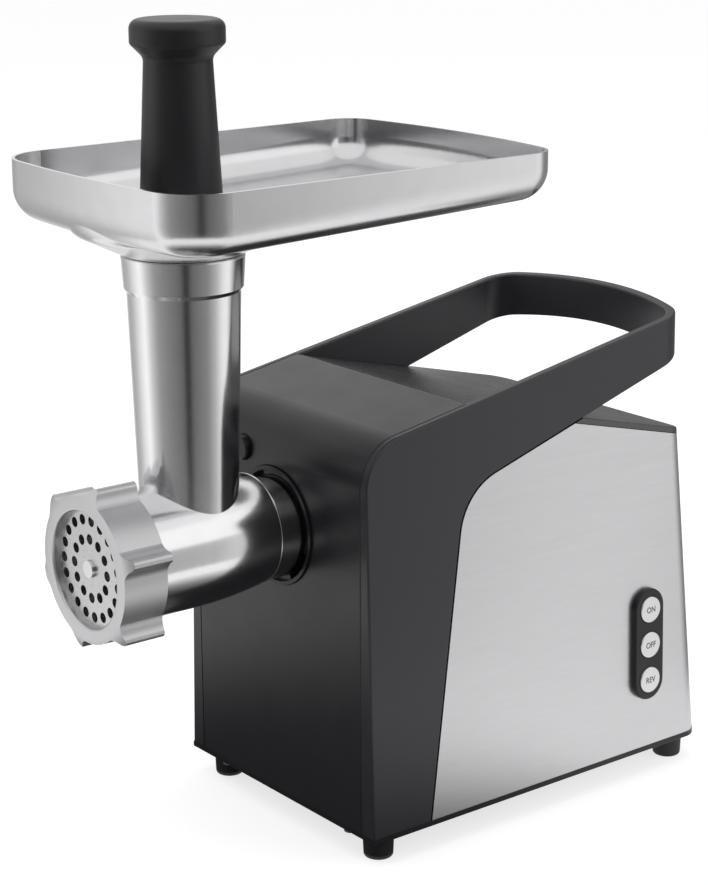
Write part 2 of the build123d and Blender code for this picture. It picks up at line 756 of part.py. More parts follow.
wall_rear = BASE_DEPTH + REAR_CORNER
arm_drop = SEAM / math.cos(math.radians(ARM_LOW_SLOPE))
pillar_step = SEAM / math.cos(math.radians(PILLAR_LEAN))
cover_span = (COVER_THICKNESS + SEAM) / math.cos(math.radians(COVER_SLOPE))
wall_corner_y = pillar_corner_y(arm_drop, pillar_step)
wall_peak_y = (cover_z(0) - cover_span - ARM_LOW_Z + arm_drop) / (ARM_RISE + COVER_FALL)

with BuildSketch(Plane.YZ) as wall_side:
    with BuildLine():
        Polyline(
            (PILLAR_FOOT + pillar_step, BASE_TOP),
            (wall_corner_y, arm_low_z(wall_corner_y) - arm_drop),
            (wall_peak_y, arm_low_z(wall_peak_y) - arm_drop),
            (wall_rear, cover_z(wall_rear) - cover_span),
            (wall_rear, BASE_TOP),
            close=True,
        )
    make_face()
    wall_corner = wall_side.vertices().sort_by_distance(
        (wall_corner_y, arm_low_z(wall_corner_y) - arm_drop)
    )[0]
    fillet(wall_corner, radius=PILLAR_ROUND - SEAM)

with BuildSketch(panel_plane) as panel_window:
    SlotOverall(BEZEL_HEIGHT - 2 * BEZEL_LIP, BEZEL_WIDTH - 2 * BEZEL_LIP, rotation=90)
    offset(amount=BOND)
with BuildSketch(inlet_plane) as inlet_window:
    Circle(INLET_BORE + INLET_WALL + BOND)

with BuildPart() as steel_wrap:
    add(outer_block)
    add(steel_inner, mode=Mode.SUBTRACT)
    extrude(wall_side.sketch, amount=BASE_WIDTH, both=True, mode=Mode.INTERSECT)
    extrude(panel_window.sketch, amount=2 * STEEL, both=True, mode=Mode.SUBTRACT)
    extrude(inlet_window.sketch, amount=2 * STEEL, both=True, mode=Mode.SUBTRACT)
save(steel_wrap, "steel_wrap")

# Rear housing: the plastic shell that the steel is bonded to, with posts for the base and the board

button_back = BEZEL_SPIGOT + FREE / 2 + BUTTON_FLANGE
switch_top = button_back + BUTTON_STEM + BUTTON_TRAVEL + FREE
board_top = switch_top + SWITCH_HEIGHT
post_offset = BEZEL_HEIGHT / 2 + BOARD_POST_MARGIN

with BuildPart() as rear_housing:
    add(housing_outer)
    add(housing_inner, mode=Mode.SUBTRACT)
    extrude(wall_side.sketch, amount=BASE_WIDTH, both=True, mode=Mode.INTERSECT)
    extrude(panel_window.sketch, amount=2 * housing_depth, both=True, mode=Mode.SUBTRACT)
    extrude(inlet_window.sketch, amount=2 * housing_depth, both=True, mode=Mode.SUBTRACT)
    with BuildSketch(panel_plane.offset(-board_top)):
        with Locations((0, post_offset), (0, -post_offset)):
            Circle(BOARD_POST_RADIUS)
    extrude(amount=board_top - housing_depth + HOUSING_WALL / 2)
    with BuildSketch(Plane.XY.offset(BASE_TOP)):
        with Locations((-POST_X, rear_post_y), (POST_X, rear_post_y)):
            Circle(POST_RADIUS)
            Circle(SCREW_SHANK + BOND, mode=Mode.SUBTRACT)
    extrude(amount=POST_HEIGHT)
save(rear_housing, "rear_housing")

# Top cover: a sloping lid, narrow between the arms and full width behind them

arm_inner_x = side_x(cover_z(FRONT_TOP_DEPTH)) - HANDLE_WALL - SEAM
with BuildPart() as arm_room:
    extrude(frame_cut, amount=BASE_WIDTH, both=True)
    with Locations((0, HANDLE_REAR / 2, BLOCK_TOP / 2)):
        Box(2 * arm_inner_x, 2 * HANDLE_REAR, 2 * BLOCK_TOP, mode=Mode.SUBTRACT)

with BuildPart() as top_cover:
    lid_front = FRONT_TOP_DEPTH + SEAM
    lid_drop = COVER_THICKNESS / math.cos(math.radians(COVER_SLOPE))
    with BuildSketch(Plane.YZ):
        with BuildLine():
            Polyline(
                (lid_front, cover_z(lid_front)),
                (wall_rear, cover_z(wall_rear)),
                (wall_rear, cover_z(wall_rear) - lid_drop),
                (lid_front, cover_z(lid_front) - lid_drop),
                close=True,
            )
        make_face()
    extrude(amount=BASE_WIDTH, both=True)
    add(outer_block, mode=Mode.INTERSECT)
    add(arm_room.part, mode=Mode.SUBTRACT)
    lid_faces = top_cover.faces().filter_by(Axis((0, 0, 0), (0, COVER_FALL, 1)))
    fillet(lid_faces.sort_by(Axis.Z)[-1].edges(), radius=COVER_EDGE)
save(top_cover, "top_cover")

# Button bezel: an oval frame with a spigot through the wall and three bores

button_places = [(0, height) for height in button_heights.values()]

with BuildPart() as button_bezel:
    with BuildSketch(panel_plane):
        SlotOverall(BEZEL_HEIGHT, BEZEL_WIDTH, rotation=90)
    extrude(amount=BEZEL_PROUD)
    rim = button_bezel.edges().sort_by(Axis(panel_plane.origin, panel_plane.z_dir))[-4:]
    fillet(rim, radius=BEZEL_PROUD / 3)
    with BuildSketch(panel_plane):
        SlotOverall(BEZEL_HEIGHT - 2 * BEZEL_LIP, BEZEL_WIDTH - 2 * BEZEL_LIP, rotation=90)
    extrude(amount=-BEZEL_SPIGOT)
    with BuildSketch(panel_plane.offset(BEZEL_PROUD)):
        with Locations(*button_places):
            Circle(BUTTON_RADIUS + FREE)
    extrude(amount=-(BEZEL_PROUD + BEZEL_SPIGOT), mode=Mode.SUBTRACT)
save(button_bezel, "button_bezel")

# Push buttons: a cap in the bezel's bore, a flange behind it and a stem towards its switch

for button_name, height in button_heights.items():
    cap_top = BEZEL_PROUD + BUTTON_PROUD
    flange_top = -(BEZEL_SPIGOT + FREE / 2)
    button_plane = Plane(
        origin=panel_plane.from_local_coords((0, height, 0)),
        x_dir=panel_plane.x_dir,
        z_dir=panel_plane.z_dir,
    )
    with BuildPart() as button:
        with BuildSketch(button_plane.offset(flange_top)):
            Circle(BUTTON_RADIUS)
        extrude(amount=cap_top - flange_top)
        cap_edge = button.edges().sort_by(Axis(button_plane.origin, button_plane.z_dir))[-1]
        fillet(cap_edge, radius=CAP_DOME)
        with BuildSketch(button_plane.offset(flange_top)):
            Circle(BUTTON_RADIUS + FLANGE_REACH)
        extrude(amount=-BUTTON_FLANGE)
        with BuildSketch(button_plane.offset(flange_top - BUTTON_FLANGE)):
            Circle(STEM_RADIUS)
        extrude(amount=-BUTTON_STEM)
    save(button, button_name)

# Switch board with its three push switches, screwed to the housing's posts

with BuildPart() as switch_board:
    with BuildSketch(panel_plane.offset(-board_top)):
        Rectangle(BOARD_WIDTH, 2 * (post_offset + BOARD_POST_RADIUS))
    extrude(amount=-BOARD_THICKNESS)
save(switch_board, "switch_board")

with BuildPart() as push_switches:
    with BuildSketch(panel_plane.offset(-board_top)):
        with Locations(*button_places):
            Rectangle(SWITCH_SIDE, SWITCH_SIDE)
    extrude(amount=SWITCH_HEIGHT - PLUNGER)
    with BuildSketch(panel_plane.offset(-board_top + SWITCH_HEIGHT - PLUNGER)):
        with Locations(*button_places):
            Circle(PLUNGER_RADIUS)
    extrude(amount=PLUNGER)
save(push_switches, "push_switches")

# Cord inlet: a flanged bush in the rear wall

with BuildPart() as cord_inlet:
    with BuildSketch(inlet_plane):
        Circle(INLET_BORE + INLET_WALL + INLET_FLANGE)
    extrude(amount=INLET_PROUD)
    with BuildSketch(inlet_plane):
        Circle(INLET_BORE + INLET_WALL)
    extrude(amount=-INLET_REACH)
    with BuildSketch(inlet_plane.offset(INLET_PROUD)):
        Circle(INLET_BORE)
    extrude(amount=-(INLET_PROUD + INLET_REACH), mode=Mode.SUBTRACT)
save(cord_inlet, "cord_inlet")

# Head socket: the collar in the front wall, with a bayonet lip behind a plain bore and two slots

lug_angles = [index * 360 / LUG_COUNT for index in range(LUG_COUNT)]
lip_front = SOCKET_FRONT + SOCKET_GUARD
lip_back = lip_front + SOCKET_LIP
lug_front = lip_back + FREE
lug_bore = LUG_RADIUS + FREE


def wedge(angle, width, reach):
    """Corners of a sector of the given width about angle, in degrees, from the axis outwards."""
    sides = [math.radians(angle - width / 2), math.radians(angle + width / 2)]
    return [(0, 0)] + [(reach * math.cos(side), reach * math.sin(side)) for side in sides]


with BuildPart() as head_socket:
    with BuildSketch(station(SOCKET_FRONT)):
        with Locations(output_centre):
            Circle(SOCKET_RADIUS)
            Circle(NECK_RADIUS + FREE, mode=Mode.SUBTRACT)
    extrude(amount=-(CASE_FRONT - SOCKET_FRONT))
    with BuildSketch(station(SOCKET_FRONT)):
        with Locations(output_centre):
            Circle(lug_bore)
    extrude(amount=-SOCKET_GUARD, mode=Mode.SUBTRACT)
    with BuildSketch(station(lip_back)):
        with Locations(output_centre):
            Circle(lug_bore)
    extrude(amount=-(CASE_FRONT - lip_back), mode=Mode.SUBTRACT)
    for angle in lug_angles:
        slot_corners = wedge(angle - TWIST, LUG_ANGLE + SLOT_PLAY, 2 * LUG_RADIUS)
        with BuildSketch(station(lip_front)):
            with Locations(output_centre):
                Polygon(*slot_corners, align=None)
            with Locations(output_centre):
                Circle(lug_bore, mode=Mode.INTERSECT)
        extrude(amount=-SOCKET_LIP, mode=Mode.SUBTRACT)
save(head_socket, "head_socket")

# Release button: a round key in the front wall with a flange behind it

with BuildPart() as release_button:
    with BuildSketch(station(-RELEASE_PROUD)):
        with Locations((RELEASE_X, RELEASE_Z)):
            Circle(RELEASE_RADIUS)
    extrude(amount=-(RELEASE_PROUD + release_seat))
    fillet(release_button.edges().sort_by(Axis.Y)[0], radius=RELEASE_ROUND)
    with BuildSketch(station(release_seat)):
        with Locations((RELEASE_X, RELEASE_Z)):
            Circle(RELEASE_RADIUS + FLANGE_REACH)
    extrude(amount=-RELEASE_FLANGE)
save(release_button, "release_button")

# Grinder head: barrel, neck with bayonet lugs, feed tube and collar in one casting

barrel_z = AXIS_Z + BARREL_RISE
tube_slope = (TUBE_TOP_RADIUS - TUBE_LOW_RADIUS) / (TUBE_TOP_Z - TUBE_LOW_Z)


def tube_radius(z):
    """Outer radius of the tapering feed tube at height z."""
    return TUBE_LOW_RADIUS + tube_slope * (z - TUBE_LOW_Z)


with BuildPart() as grinder_head:
    with BuildSketch(Plane.YZ):
        with BuildLine():
            Polyline(
                (RIM_FRONT, AXIS_Z),
                (RIM_FRONT, AXIS_Z + THREAD_RADIUS),
                (THREAD_BACK + FREE, AXIS_Z + THREAD_RADIUS),
                (THREAD_BACK + FREE, AXIS_Z + NECK_RADIUS),
                (NECK_END, AXIS_Z + NECK_RADIUS),
                (NECK_END, AXIS_Z),
                close=True,
            )
        make_face()
    revolve(axis=GRIND_AXIS)
    with BuildSketch(Plane.YZ):
        with BuildLine():
            barrel_line = Polyline(
                (BARREL_FLOOR_Y, barrel_z + BARREL_REAR_RADIUS),
                (BARREL_FLOOR_Y, barrel_z),
                (THREAD_BACK, barrel_z),
                (THREAD_BACK, barrel_z + BARREL_FRONT_RADIUS),
                (BARREL_TAPER_Y, barrel_z + BARREL_FRONT_RADIUS),
            )
            TangentArc(barrel_line @ 1, barrel_line @ 0, tangent=barrel_line % 1)
        make_face()
    revolve(axis=Axis((0, 0, barrel_z), (0, 1, 0)))
    with BuildSketch(Plane.YZ) as tube_profile:
        with BuildLine():
            Polyline(
                (TUBE_Y, AXIS_Z),
                (TUBE_Y + tube_radius(AXIS_Z), AXIS_Z),
                (TUBE_Y + TUBE_TOP_RADIUS, TUBE_TOP_Z),
                (TUBE_Y + COLLAR_LOW_RADIUS, COLLAR_LOW_Z),
                (TUBE_Y + COLLAR_TOP_RADIUS, COLLAR_TOP_Z),
                (TUBE_Y, COLLAR_TOP_Z),
                close=True,
            )
        make_face()
        collar_edge = tube_profile.vertices().sort_by_distance(
            (TUBE_Y + COLLAR_TOP_RADIUS, COLLAR_TOP_Z)
        )[0]
        fillet(collar_edge, radius=COLLAR_ROUND)
    revolve(axis=TUBE_AXIS)
    with BuildSketch(Plane.YZ):
        with BuildLine():
            Polyline(
                (RIM_FRONT, AXIS_Z),
                (RIM_FRONT, AXIS_Z + PLATE_RADIUS + FREE),
                (PLATE_BACK, AXIS_Z + PLATE_RADIUS + FREE),
                (PLATE_BACK, AXIS_Z + CHAMBER_RADIUS),
                (CHAMBER_BACK, AXIS_Z + CHAMBER_RADIUS),
                (CHAMBER_BACK, AXIS_Z + BARREL_BORE),
                (BARREL_FLOOR_Y, AXIS_Z + BARREL_BORE),
                (BARREL_FLOOR_Y, AXIS_Z + JOURNAL_RADIUS + RUNNING),
                (NECK_FLOOR_Y, AXIS_Z + JOURNAL_RADIUS + RUNNING),
                (NECK_FLOOR_Y, AXIS_Z + NECK_CUP),
                (NECK_END, AXIS_Z + NECK_CUP),
                (NECK_END, AXIS_Z),
                close=True,
            )
        make_face()
    revolve(axis=GRIND_AXIS, mode=Mode.SUBTRACT)
    with BuildSketch(Plane.YZ):
        with BuildLine():
            Polyline(
                (TUBE_Y, AXIS_Z),
                (TUBE_Y + THROAT_RADIUS, AXIS_Z),
                (TUBE_Y + THROAT_RADIUS, LEDGE_Z),
                (TUBE_Y + tube_radius(LEDGE_Z) - TUBE_WALL, LEDGE_Z),
                (TUBE_Y + tube_radius(SEAT_Z) - TUBE_WALL, SEAT_Z),
                (TUBE_Y + SEAT_RADIUS, SEAT_Z),
                (TUBE_Y + SEAT_RADIUS, COLLAR_TOP_Z),
                (TUBE_Y, COLLAR_TOP_Z),
                close=True,
            )
        make_face()
    revolve(axis=TUBE_AXIS, mode=Mode.SUBTRACT)
    for angle in lug_angles:
        with BuildSketch(station(lug_front)):
            with Locations(output_centre):
                Polygon(*wedge(angle, LUG_ANGLE, 2 * LUG_RADIUS), align=None)
            with Locations(output_centre):
                Circle(LUG_RADIUS, mode=Mode.INTERSECT)
            with Locations(output_centre):
                Circle(NECK_CUP, mode=Mode.SUBTRACT)
        extrude(amount=-LUG_LENGTH)
save(grinder_head, "grinder_head")

# Ring nut: a cast ring with six ribs, a front lip and a bore over the head's thread

base_x = math.sqrt(RING_BODY_RADIUS**2 - RING_RIB_BASE**2)
shoulder_x = RING_TIP_RADIUS - RING_RIB_CROWN
hollow = Vector(shoulder_x - base_x, RING_RIB_HALF - RING_RIB_BASE).rotate(Axis.Z, 90).normalized()
hollow_x = (base_x + shoulder_x) / 2 - abs(hollow.X) * RING_RIB_HOLLOW
hollow_y = (RING_RIB_BASE + RING_RIB_HALF) / 2 - abs(hollow.Y) * RING_RIB_HOLLOW

with BuildSketch() as ring_rib:
    with BuildLine():
        ThreePointArc((base_x, -RING_RIB_BASE), (hollow_x, -hollow_y), (shoulder_x, -RING_RIB_HALF))
        ThreePointArc((shoulder_x, -RING_RIB_HALF), (RING_TIP_RADIUS, 0), (shoulder_x, RING_RIB_HALF))
        ThreePointArc((shoulder_x, RING_RIB_HALF), (hollow_x, hollow_y), (base_x, RING_RIB_BASE))
        Polyline(
            (base_x, RING_RIB_BASE),
            (base_x - RING_RIB_BASE / 2, RING_RIB_BASE / 2),
            (base_x - RING_RIB_BASE / 2, -RING_RIB_BASE / 2),
            (base_x, -RING_RIB_BASE),
        )
    make_face()

with BuildPart() as ring_nut:
    with BuildSketch(station(RING_FRONT)):
        Circle(RING_BODY_RADIUS)
        with PolarLocations(0, RING_RIBS, start_angle=RING_PHASE):
            add(ring_rib.sketch)
    extrude(amount=-RING_DEPTH)
    ring_nut.part = Pos(0, 0, AXIS_Z) * ring_nut.part
    with BuildSketch(Plane.YZ):
        with BuildLine():
            turned = Polyline(
                (RING_FRONT + RING_NOSE, AXIS_Z + RING_TIP_RADIUS),
                (RING_BACK, AXIS_Z + RING_TIP_RADIUS),
                (RING_BACK, AXIS_Z),
                (RING_FRONT, AXIS_Z),
                (RING_FRONT, AXIS_Z + RING_FACE),
            )
            TangentArc(turned @ 1, turned @ 0, tangent=turned % 1)
        make_face()
    revolve(axis=GRIND_AXIS, mode=Mode.INTERSECT)
    with BuildSketch(station(RING_FRONT)):
        with Locations(output_centre):
            Circle(RING_OPENING)
    extrude(amount=-RING_DEPTH, mode=Mode.SUBTRACT)
    front_circles = ring_nut.edges().filter_by(GeomType.CIRCLE).group_by(Axis.Y)[0]
    fillet(front_circles.sort_by(SortBy.RADIUS)[0], radius=RING_EDGE)
    with BuildSketch(station(PLATE_FRONT)):
        with Locations(output_centre):
            Circle(THREAD_RADIUS + FREE)
    extrude(amount=-RING_DEPTH, mode=Mode.SUBTRACT)
save(ring_nut, "ring_nut")

# Cutting plate: a disc with two rings of holes round the screw's pin

with BuildPart() as cutting_plate:
    with BuildSketch(station(PLATE_FRONT)):
        with Locations(output_centre):
            Circle(PLATE_RADIUS)
            Circle(PIN_RADIUS + RUNNING, mode=Mode.SUBTRACT)
            with PolarLocations(PLATE_INNER_CIRCLE, PLATE_INNER_HOLES):
                Circle(PLATE_HOLE, mode=Mode.SUBTRACT)
            outer_start = 180 / PLATE_OUTER_HOLES
            with PolarLocations(PLATE_OUTER_CIRCLE, PLATE_OUTER_HOLES, start_angle=outer_start):
                Circle(PLATE_HOLE, mode=Mode.SUBTRACT)
    extrude(amount=-PLATE_THICKNESS)
save(cutting_plate, "cutting_plate")

# Cutter blade: four tapering arms on a hub with a square hole

with BuildSketch() as blade_arm:
    with BuildLine():
        Polyline(
            (0, -BLADE_ARM / 2),
            (BLADE_RADIUS, -BLADE_ARM / 2),
            (BLADE_RADIUS, BLADE_TIP - BLADE_ARM / 2),
            (0, BLADE_ARM / 2),
            close=True,
        )
    make_face()

with BuildPart() as cutter_blade:
    with BuildSketch(station(BLADE_FRONT)):
        Circle(BLADE_HUB)
        with PolarLocations(0, BLADE_ARMS):
            add(blade_arm.sketch)
        Rectangle(BLADE_SQUARE + RUNNING, BLADE_SQUARE + RUNNING, mode=Mode.SUBTRACT)
    extrude(amount=-BLADE_THICKNESS)
    cutter_blade.part = Pos(0, 0, AXIS_Z) * cutter_blade.part
save(cutter_blade, "cutter_blade")

# Feed screw: core with a helical flight, blade square and plate pin ahead, journal and tang behind

screw_back = BARREL_FLOOR_Y - WASHER_THICKNESS - FREE
flight_front = BLADE_BACK + FLIGHT_THICKNESS
flight_back = screw_back - FLIGHT_THICKNESS / 2
flight_radius = BARREL_BORE - SCREW_CLEARANCE
flight_root = SCREW_CORE - FLIGHT_ROOT
with BuildPart() as feed_screw:
    with BuildSketch(Plane.YZ):
        with BuildLine():
            Polyline(
                (PLATE_FRONT - PIN_PROUD, AXIS_Z),
                (PLATE_FRONT - PIN_PROUD, AXIS_Z + PIN_RADIUS),
                (BLADE_BACK, AXIS_Z + PIN_RADIUS),
                (BLADE_BACK, AXIS_Z + SCREW_CORE),
                (screw_back, AXIS_Z + SCREW_CORE),
                (screw_back, AXIS_Z + JOURNAL_RADIUS),
                (NECK_FLOOR_Y, AXIS_Z + JOURNAL_RADIUS),
                (NECK_FLOOR_Y, AXIS_Z),
                close=True,
            )
        make_face()
    revolve(axis=GRIND_AXIS)
    with BuildSketch(station(BLADE_FRONT)):
        with Locations(output_centre):
            Rectangle(BLADE_SQUARE, BLADE_SQUARE)
    extrude(amount=-BLADE_THICKNESS)
    with BuildSketch(station(NECK_FLOOR_Y)):
        with Locations(output_centre):
            Rectangle(TANG, TANG)
    extrude(amount=-TANG_LENGTH)
    flight_middle = (flight_root + flight_radius) / 2
    with BuildLine() as flight_path:
        Helix(
            pitch=SCREW_PITCH,
            height=flight_back - flight_front,
            radius=flight_middle,
            center=(0, flight_front, AXIS_Z),
            direction=(0, 1, 0),
        )
    start = flight_path.line @ 0
    outwards = (start - Vector(0, flight_front, AXIS_Z)).normalized()
    with BuildSketch(Plane(origin=start, x_dir=outwards, z_dir=flight_path.line % 0)):
        Rectangle(flight_radius - flight_root, FLIGHT_THICKNESS)
    sweep(is_frenet=True)
save(feed_screw, "feed_screw")

# Thrust washer behind the screw

with BuildPart() as thrust_washer:
    with BuildSketch(station(screw_back)):
        with Locations(output_centre):
            Circle(WASHER_RADIUS)
            Circle(JOURNAL_RADIUS + RUNNING, mode=Mode.SUBTRACT)
    extrude(amount=-WASHER_THICKNESS)
save(thrust_washer, "thrust_washer")


# Feed tray: a pan with bowed ends, a sloping floor, a funnel and a neck in the feed tube's collar

funnel_rise = math.tan(math.radians(TRAY_FUNNEL_SLOPE))
funnel_low = COLLAR_TOP_Z + FREE
neck_low = SEAT_Z + FREE


def tray_plan(inset):
    """Outline of the tray's rim, drawn in by inset."""
    half = TRAY_HALF_WIDTH - inset
    front = TRAY_FRONT + inset
    rear = TRAY_REAR - inset
    front_side = front + TRAY_FRONT_BOW
    rear_side = rear - TRAY_REAR_BOW
    with BuildSketch(Plane.XY.offset(TRAY_RIM_Z)) as plan:
        with BuildLine():
            ThreePointArc((-half, front_side), (0, front), (half, front_side))
            Line((half, front_side), (half, rear_side))
            ThreePointArc((half, rear_side), (0, rear), (-half, rear_side))
            Line((-half, rear_side), (-half, front_side))
        make_face()
        fillet(plan.vertices().group_by(Axis.Y)[0], radius=TRAY_FRONT_CORNER - inset)
        fillet(plan.vertices().group_by(Axis.Y)[-1], radius=TRAY_REAR_CORNER - inset)
    return plan.sketch


def funnel(inset):
    """Solid of the tray's neck, funnel and bowl about the feed tube's axis, drawn in by inset."""
    start = COLLAR_TOP_RADIUS - inset * math.tan(math.radians(TRAY_FUNNEL_SLOPE / 2))
    bowl = TRAY_BOWL_RADIUS - inset
    bowl_z = funnel_low + inset + funnel_rise * (bowl - start)
    top = TRAY_RIM_Z - TRAY_ROUND / 2
    with BuildPart() as block:
        with BuildSketch(Plane.YZ) as profile:
            with BuildLine():
                Polyline(
                    (TUBE_Y, neck_low),
                    (TUBE_Y + TRAY_NECK_RADIUS - inset, neck_low),
                    (TUBE_Y + TRAY_NECK_RADIUS - inset, funnel_low + inset),
                    (TUBE_Y + start, funnel_low + inset),
                    (TUBE_Y + bowl, bowl_z),
                    (TUBE_Y + bowl, top),
                    (TUBE_Y, top),
                    close=True,
                )
            make_face()
            corner = profile.vertices().sort_by_distance((TUBE_Y + bowl, bowl_z))[0]
            fillet(corner, radius=TRAY_BOWL_ROUND - inset)
        revolve(axis=TUBE_AXIS)
    return block.part


def tray_block(inset):
    """Solid inside the tray's outer faces, drawn in by inset, with its funnel and neck."""
    floor_plane = Plane((0, TUBE_Y, TRAY_FLOOR_Z)).rotated((TRAY_FLOOR_SLOPE, 0, 0)).offset(inset)
    with BuildPart() as block:
        extrude(tray_plan(inset), amount=-(TRAY_RIM_Z - funnel_low))
        split(bisect_by=floor_plane, keep=Keep.TOP)
        fillet(block.faces().sort_by(Axis.Z)[0].edges(), radius=TRAY_ROUND - inset)
        add(funnel(inset))
    return block.part


with BuildPart() as feed_tray:
    add(tray_block(0))
    add(tray_block(TRAY_WALL), mode=Mode.SUBTRACT)
save(feed_tray, "feed_tray")

# Pusher: a piston that tapers to a grip under a mushroom head

with BuildPart() as pusher:
    with BuildSketch(Plane.YZ) as pusher_profile:
        with BuildLine():
            Polyline(
                (TUBE_Y, LEDGE_Z + FREE),
                (TUBE_Y + PUSHER_RADIUS, LEDGE_Z + FREE),
                (TUBE_Y + PUSHER_RADIUS, PUSHER_TAPER_Z),
                (TUBE_Y + PUSHER_GRIP_RADIUS, PUSHER_GRIP_Z),
                (TUBE_Y + PUSHER_HEAD_RADIUS, PUSHER_HEAD_Z),
                (TUBE_Y + PUSHER_HEAD_RADIUS, PUSHER_TOP_Z),
                (TUBE_Y, PUSHER_TOP_Z),
                close=True,
            )
        make_face()
        neck = pusher_profile.vertices().sort_by_distance(
            (TUBE_Y + PUSHER_GRIP_RADIUS, PUSHER_GRIP_Z)
        )[0]
        fillet(neck, radius=PUSHER_HEAD_ROUND)
        lower = pusher_profile.vertices().sort_by_distance(
            (TUBE_Y + PUSHER_HEAD_RADIUS, PUSHER_HEAD_Z)
        )[0]
        fillet(lower, radius=PUSHER_HEAD_ROUND / 2)
        upper = pusher_profile.vertices().sort_by_distance(
            (TUBE_Y + PUSHER_HEAD_RADIUS, PUSHER_TOP_Z)
        )[0]
        fillet(upper, radius=PUSHER_HEAD_ROUND)
    revolve(axis=TUBE_AXIS)
save(pusher, "pusher")

# Gear case: a cup round the gear train, with ears on the front cover's bosses


def case_outline(y, grow):
    """Hull round all four gears at station y, grown beyond the teeth."""
    with BuildSketch(station(y)) as outline:
        for centre, radius in case_circles:
            with Locations(centre):
                Circle(radius + grow)
        make_hull()
    return outline.sketch


def ear_outline(y, radius):
    """Circles of the given radius at the gear case's four ears at station y."""
    with BuildSketch(station(y)) as outline:
        with Locations(*case_ears):
            Circle(radius)
    return outline.sketch


axle_places = {
    "second_axle": (second_centre, AXLE_RADIUS),
    "first_axle": (first_centre, FIRST_AXLE_RADIUS),
}
case_inside = CASE_FRONT + CASE_WALL
case_length = case_end - CASE_FRONT

with BuildPart() as gear_case:
    extrude(case_outline(CASE_FRONT, CASE_ROOM + CASE_SIDE), amount=-case_length)
    extrude(ear_outline(CASE_FRONT, BOSS_RADIUS), amount=-case_length)
    extrude(
        case_outline(case_inside, CASE_ROOM), amount=-(case_end - case_inside), mode=Mode.SUBTRACT
    )
    extrude(
        ear_outline(CASE_FRONT, SCREW_SHANK + BOND), amount=-case_length, mode=Mode.SUBTRACT
    )
    with BuildSketch(station(CASE_FRONT)):
        with Locations(output_centre):
            Circle(SHAFT_RADIUS + BUSH_WALL + SNUG)
    extrude(amount=-CASE_WALL, mode=Mode.SUBTRACT)
    for centre, radius in axle_places.values():
        with BuildSketch(station(case_inside - AXLE_SEAT)):
            with Locations(centre):
                Circle(radius + SNUG)
        extrude(amount=-AXLE_SEAT, mode=Mode.SUBTRACT)
save(gear_case, "gear_case")

# Gear case cover: the rear wall, widened to carry the motor

with BuildPart() as gear_case_cover:
    extrude(case_outline(case_end, CASE_ROOM + CASE_SIDE), amount=-CASE_WALL)
    extrude(ear_outline(case_end, BOSS_RADIUS), amount=-CASE_WALL)
    with BuildSketch(station(case_end)):
        with Locations(motor_centre):
            Rectangle(2 * BRACKET_HALF_WIDTH, 2 * BRACKET_HALF_HEIGHT)
    extrude(amount=-CASE_WALL)
    extrude(ear_outline(case_end, SCREW_SHANK + BOND), amount=-CASE_WALL, mode=Mode.SUBTRACT)
    with BuildSketch(station(case_end)):
        with Locations(output_centre):
            Circle(SHAFT_REAR_RADIUS + BUSH_WALL + SNUG)
        with Locations(motor_centre):
            Circle(MOTOR_SHAFT_RADIUS + SHAFT_ROOM)
    extrude(amount=-CASE_WALL, mode=Mode.SUBTRACT)
    for centre, radius in axle_places.values():
        with BuildSketch(station(case_end)):
            with Locations(centre):
                Circle(radius + SNUG)
        extrude(amount=-AXLE_SEAT, mode=Mode.SUBTRACT)
    with BuildSketch(station(cover_end)):
        with Locations(*bolt_places):
            Circle(BOLT_RADIUS + BOND)
    extrude(amount=BOLT_THREAD, mode=Mode.SUBTRACT)
save(gear_case_cover, "gear_case_cover")

# Screws through the cover and the gear case into the front cover's bosses

with BuildPart() as gear_case_screws:
    extrude(ear_outline(cover_end, SCREW_HEAD_RADIUS), amount=-SCREW_HEAD)
    extrude(ear_outline(cover_end, SCREW_SHANK), amount=cover_end - PLASTIC_WALL - FREE)
save(gear_case_screws, "gear_case_screws")

# Gear train: each meshed pair has a tooth of one in a gap of the other at rest


def tooth_on(start, end):
    """Phase of a gear at start with a tooth pointing at end."""
    return direction(start, end)


def gap_on(start, end, teeth):
    """Phase of a gear at start with a gap pointing at end."""
    return direction(start, end) + 180 / teeth


def gear_sketch(centre, y, teeth, module, phase):
    """Gear outline at station y."""
    with BuildSketch(station(y)) as face:
        with BuildLine():
            Polyline(
                *[(centre[0] + u, centre[1] + v) for u, v in gear_points(teeth, module, phase)],
                close=True,
            )
        make_face()
    return face.sketch


with BuildPart() as output_gear:
    output_phase = gap_on(output_centre, second_centre, OUTPUT_TEETH)
    extrude(
        gear_sketch(output_centre, output_y, OUTPUT_TEETH, OUTPUT_MODULE, output_phase),
        amount=-OUTPUT_WIDTH,
    )
    with BuildSketch(station(output_y)):
        with Locations(output_centre):
            Circle(SHAFT_RADIUS + SNUG)
    extrude(amount=-OUTPUT_WIDTH, mode=Mode.SUBTRACT)
save(output_gear, "output_gear")

with BuildPart() as second_gear:
    pinion_phase = tooth_on(second_centre, output_centre)
    wheel_phase = gap_on(second_centre, first_centre, SECOND_TEETH)
    extrude(
        gear_sketch(second_centre, output_y, SECOND_PINION_TEETH, OUTPUT_MODULE, pinion_phase),
        amount=-(second_y - output_y),
    )
    extrude(
        gear_sketch(second_centre, second_y, SECOND_TEETH, SECOND_MODULE, wheel_phase),
        amount=-SECOND_WIDTH,
    )
    with BuildSketch(station(output_y)):
        with Locations(second_centre):
            Circle(AXLE_RADIUS + RUNNING)
    extrude(amount=-(second_y + SECOND_WIDTH - output_y), mode=Mode.SUBTRACT)
save(second_gear, "second_gear")

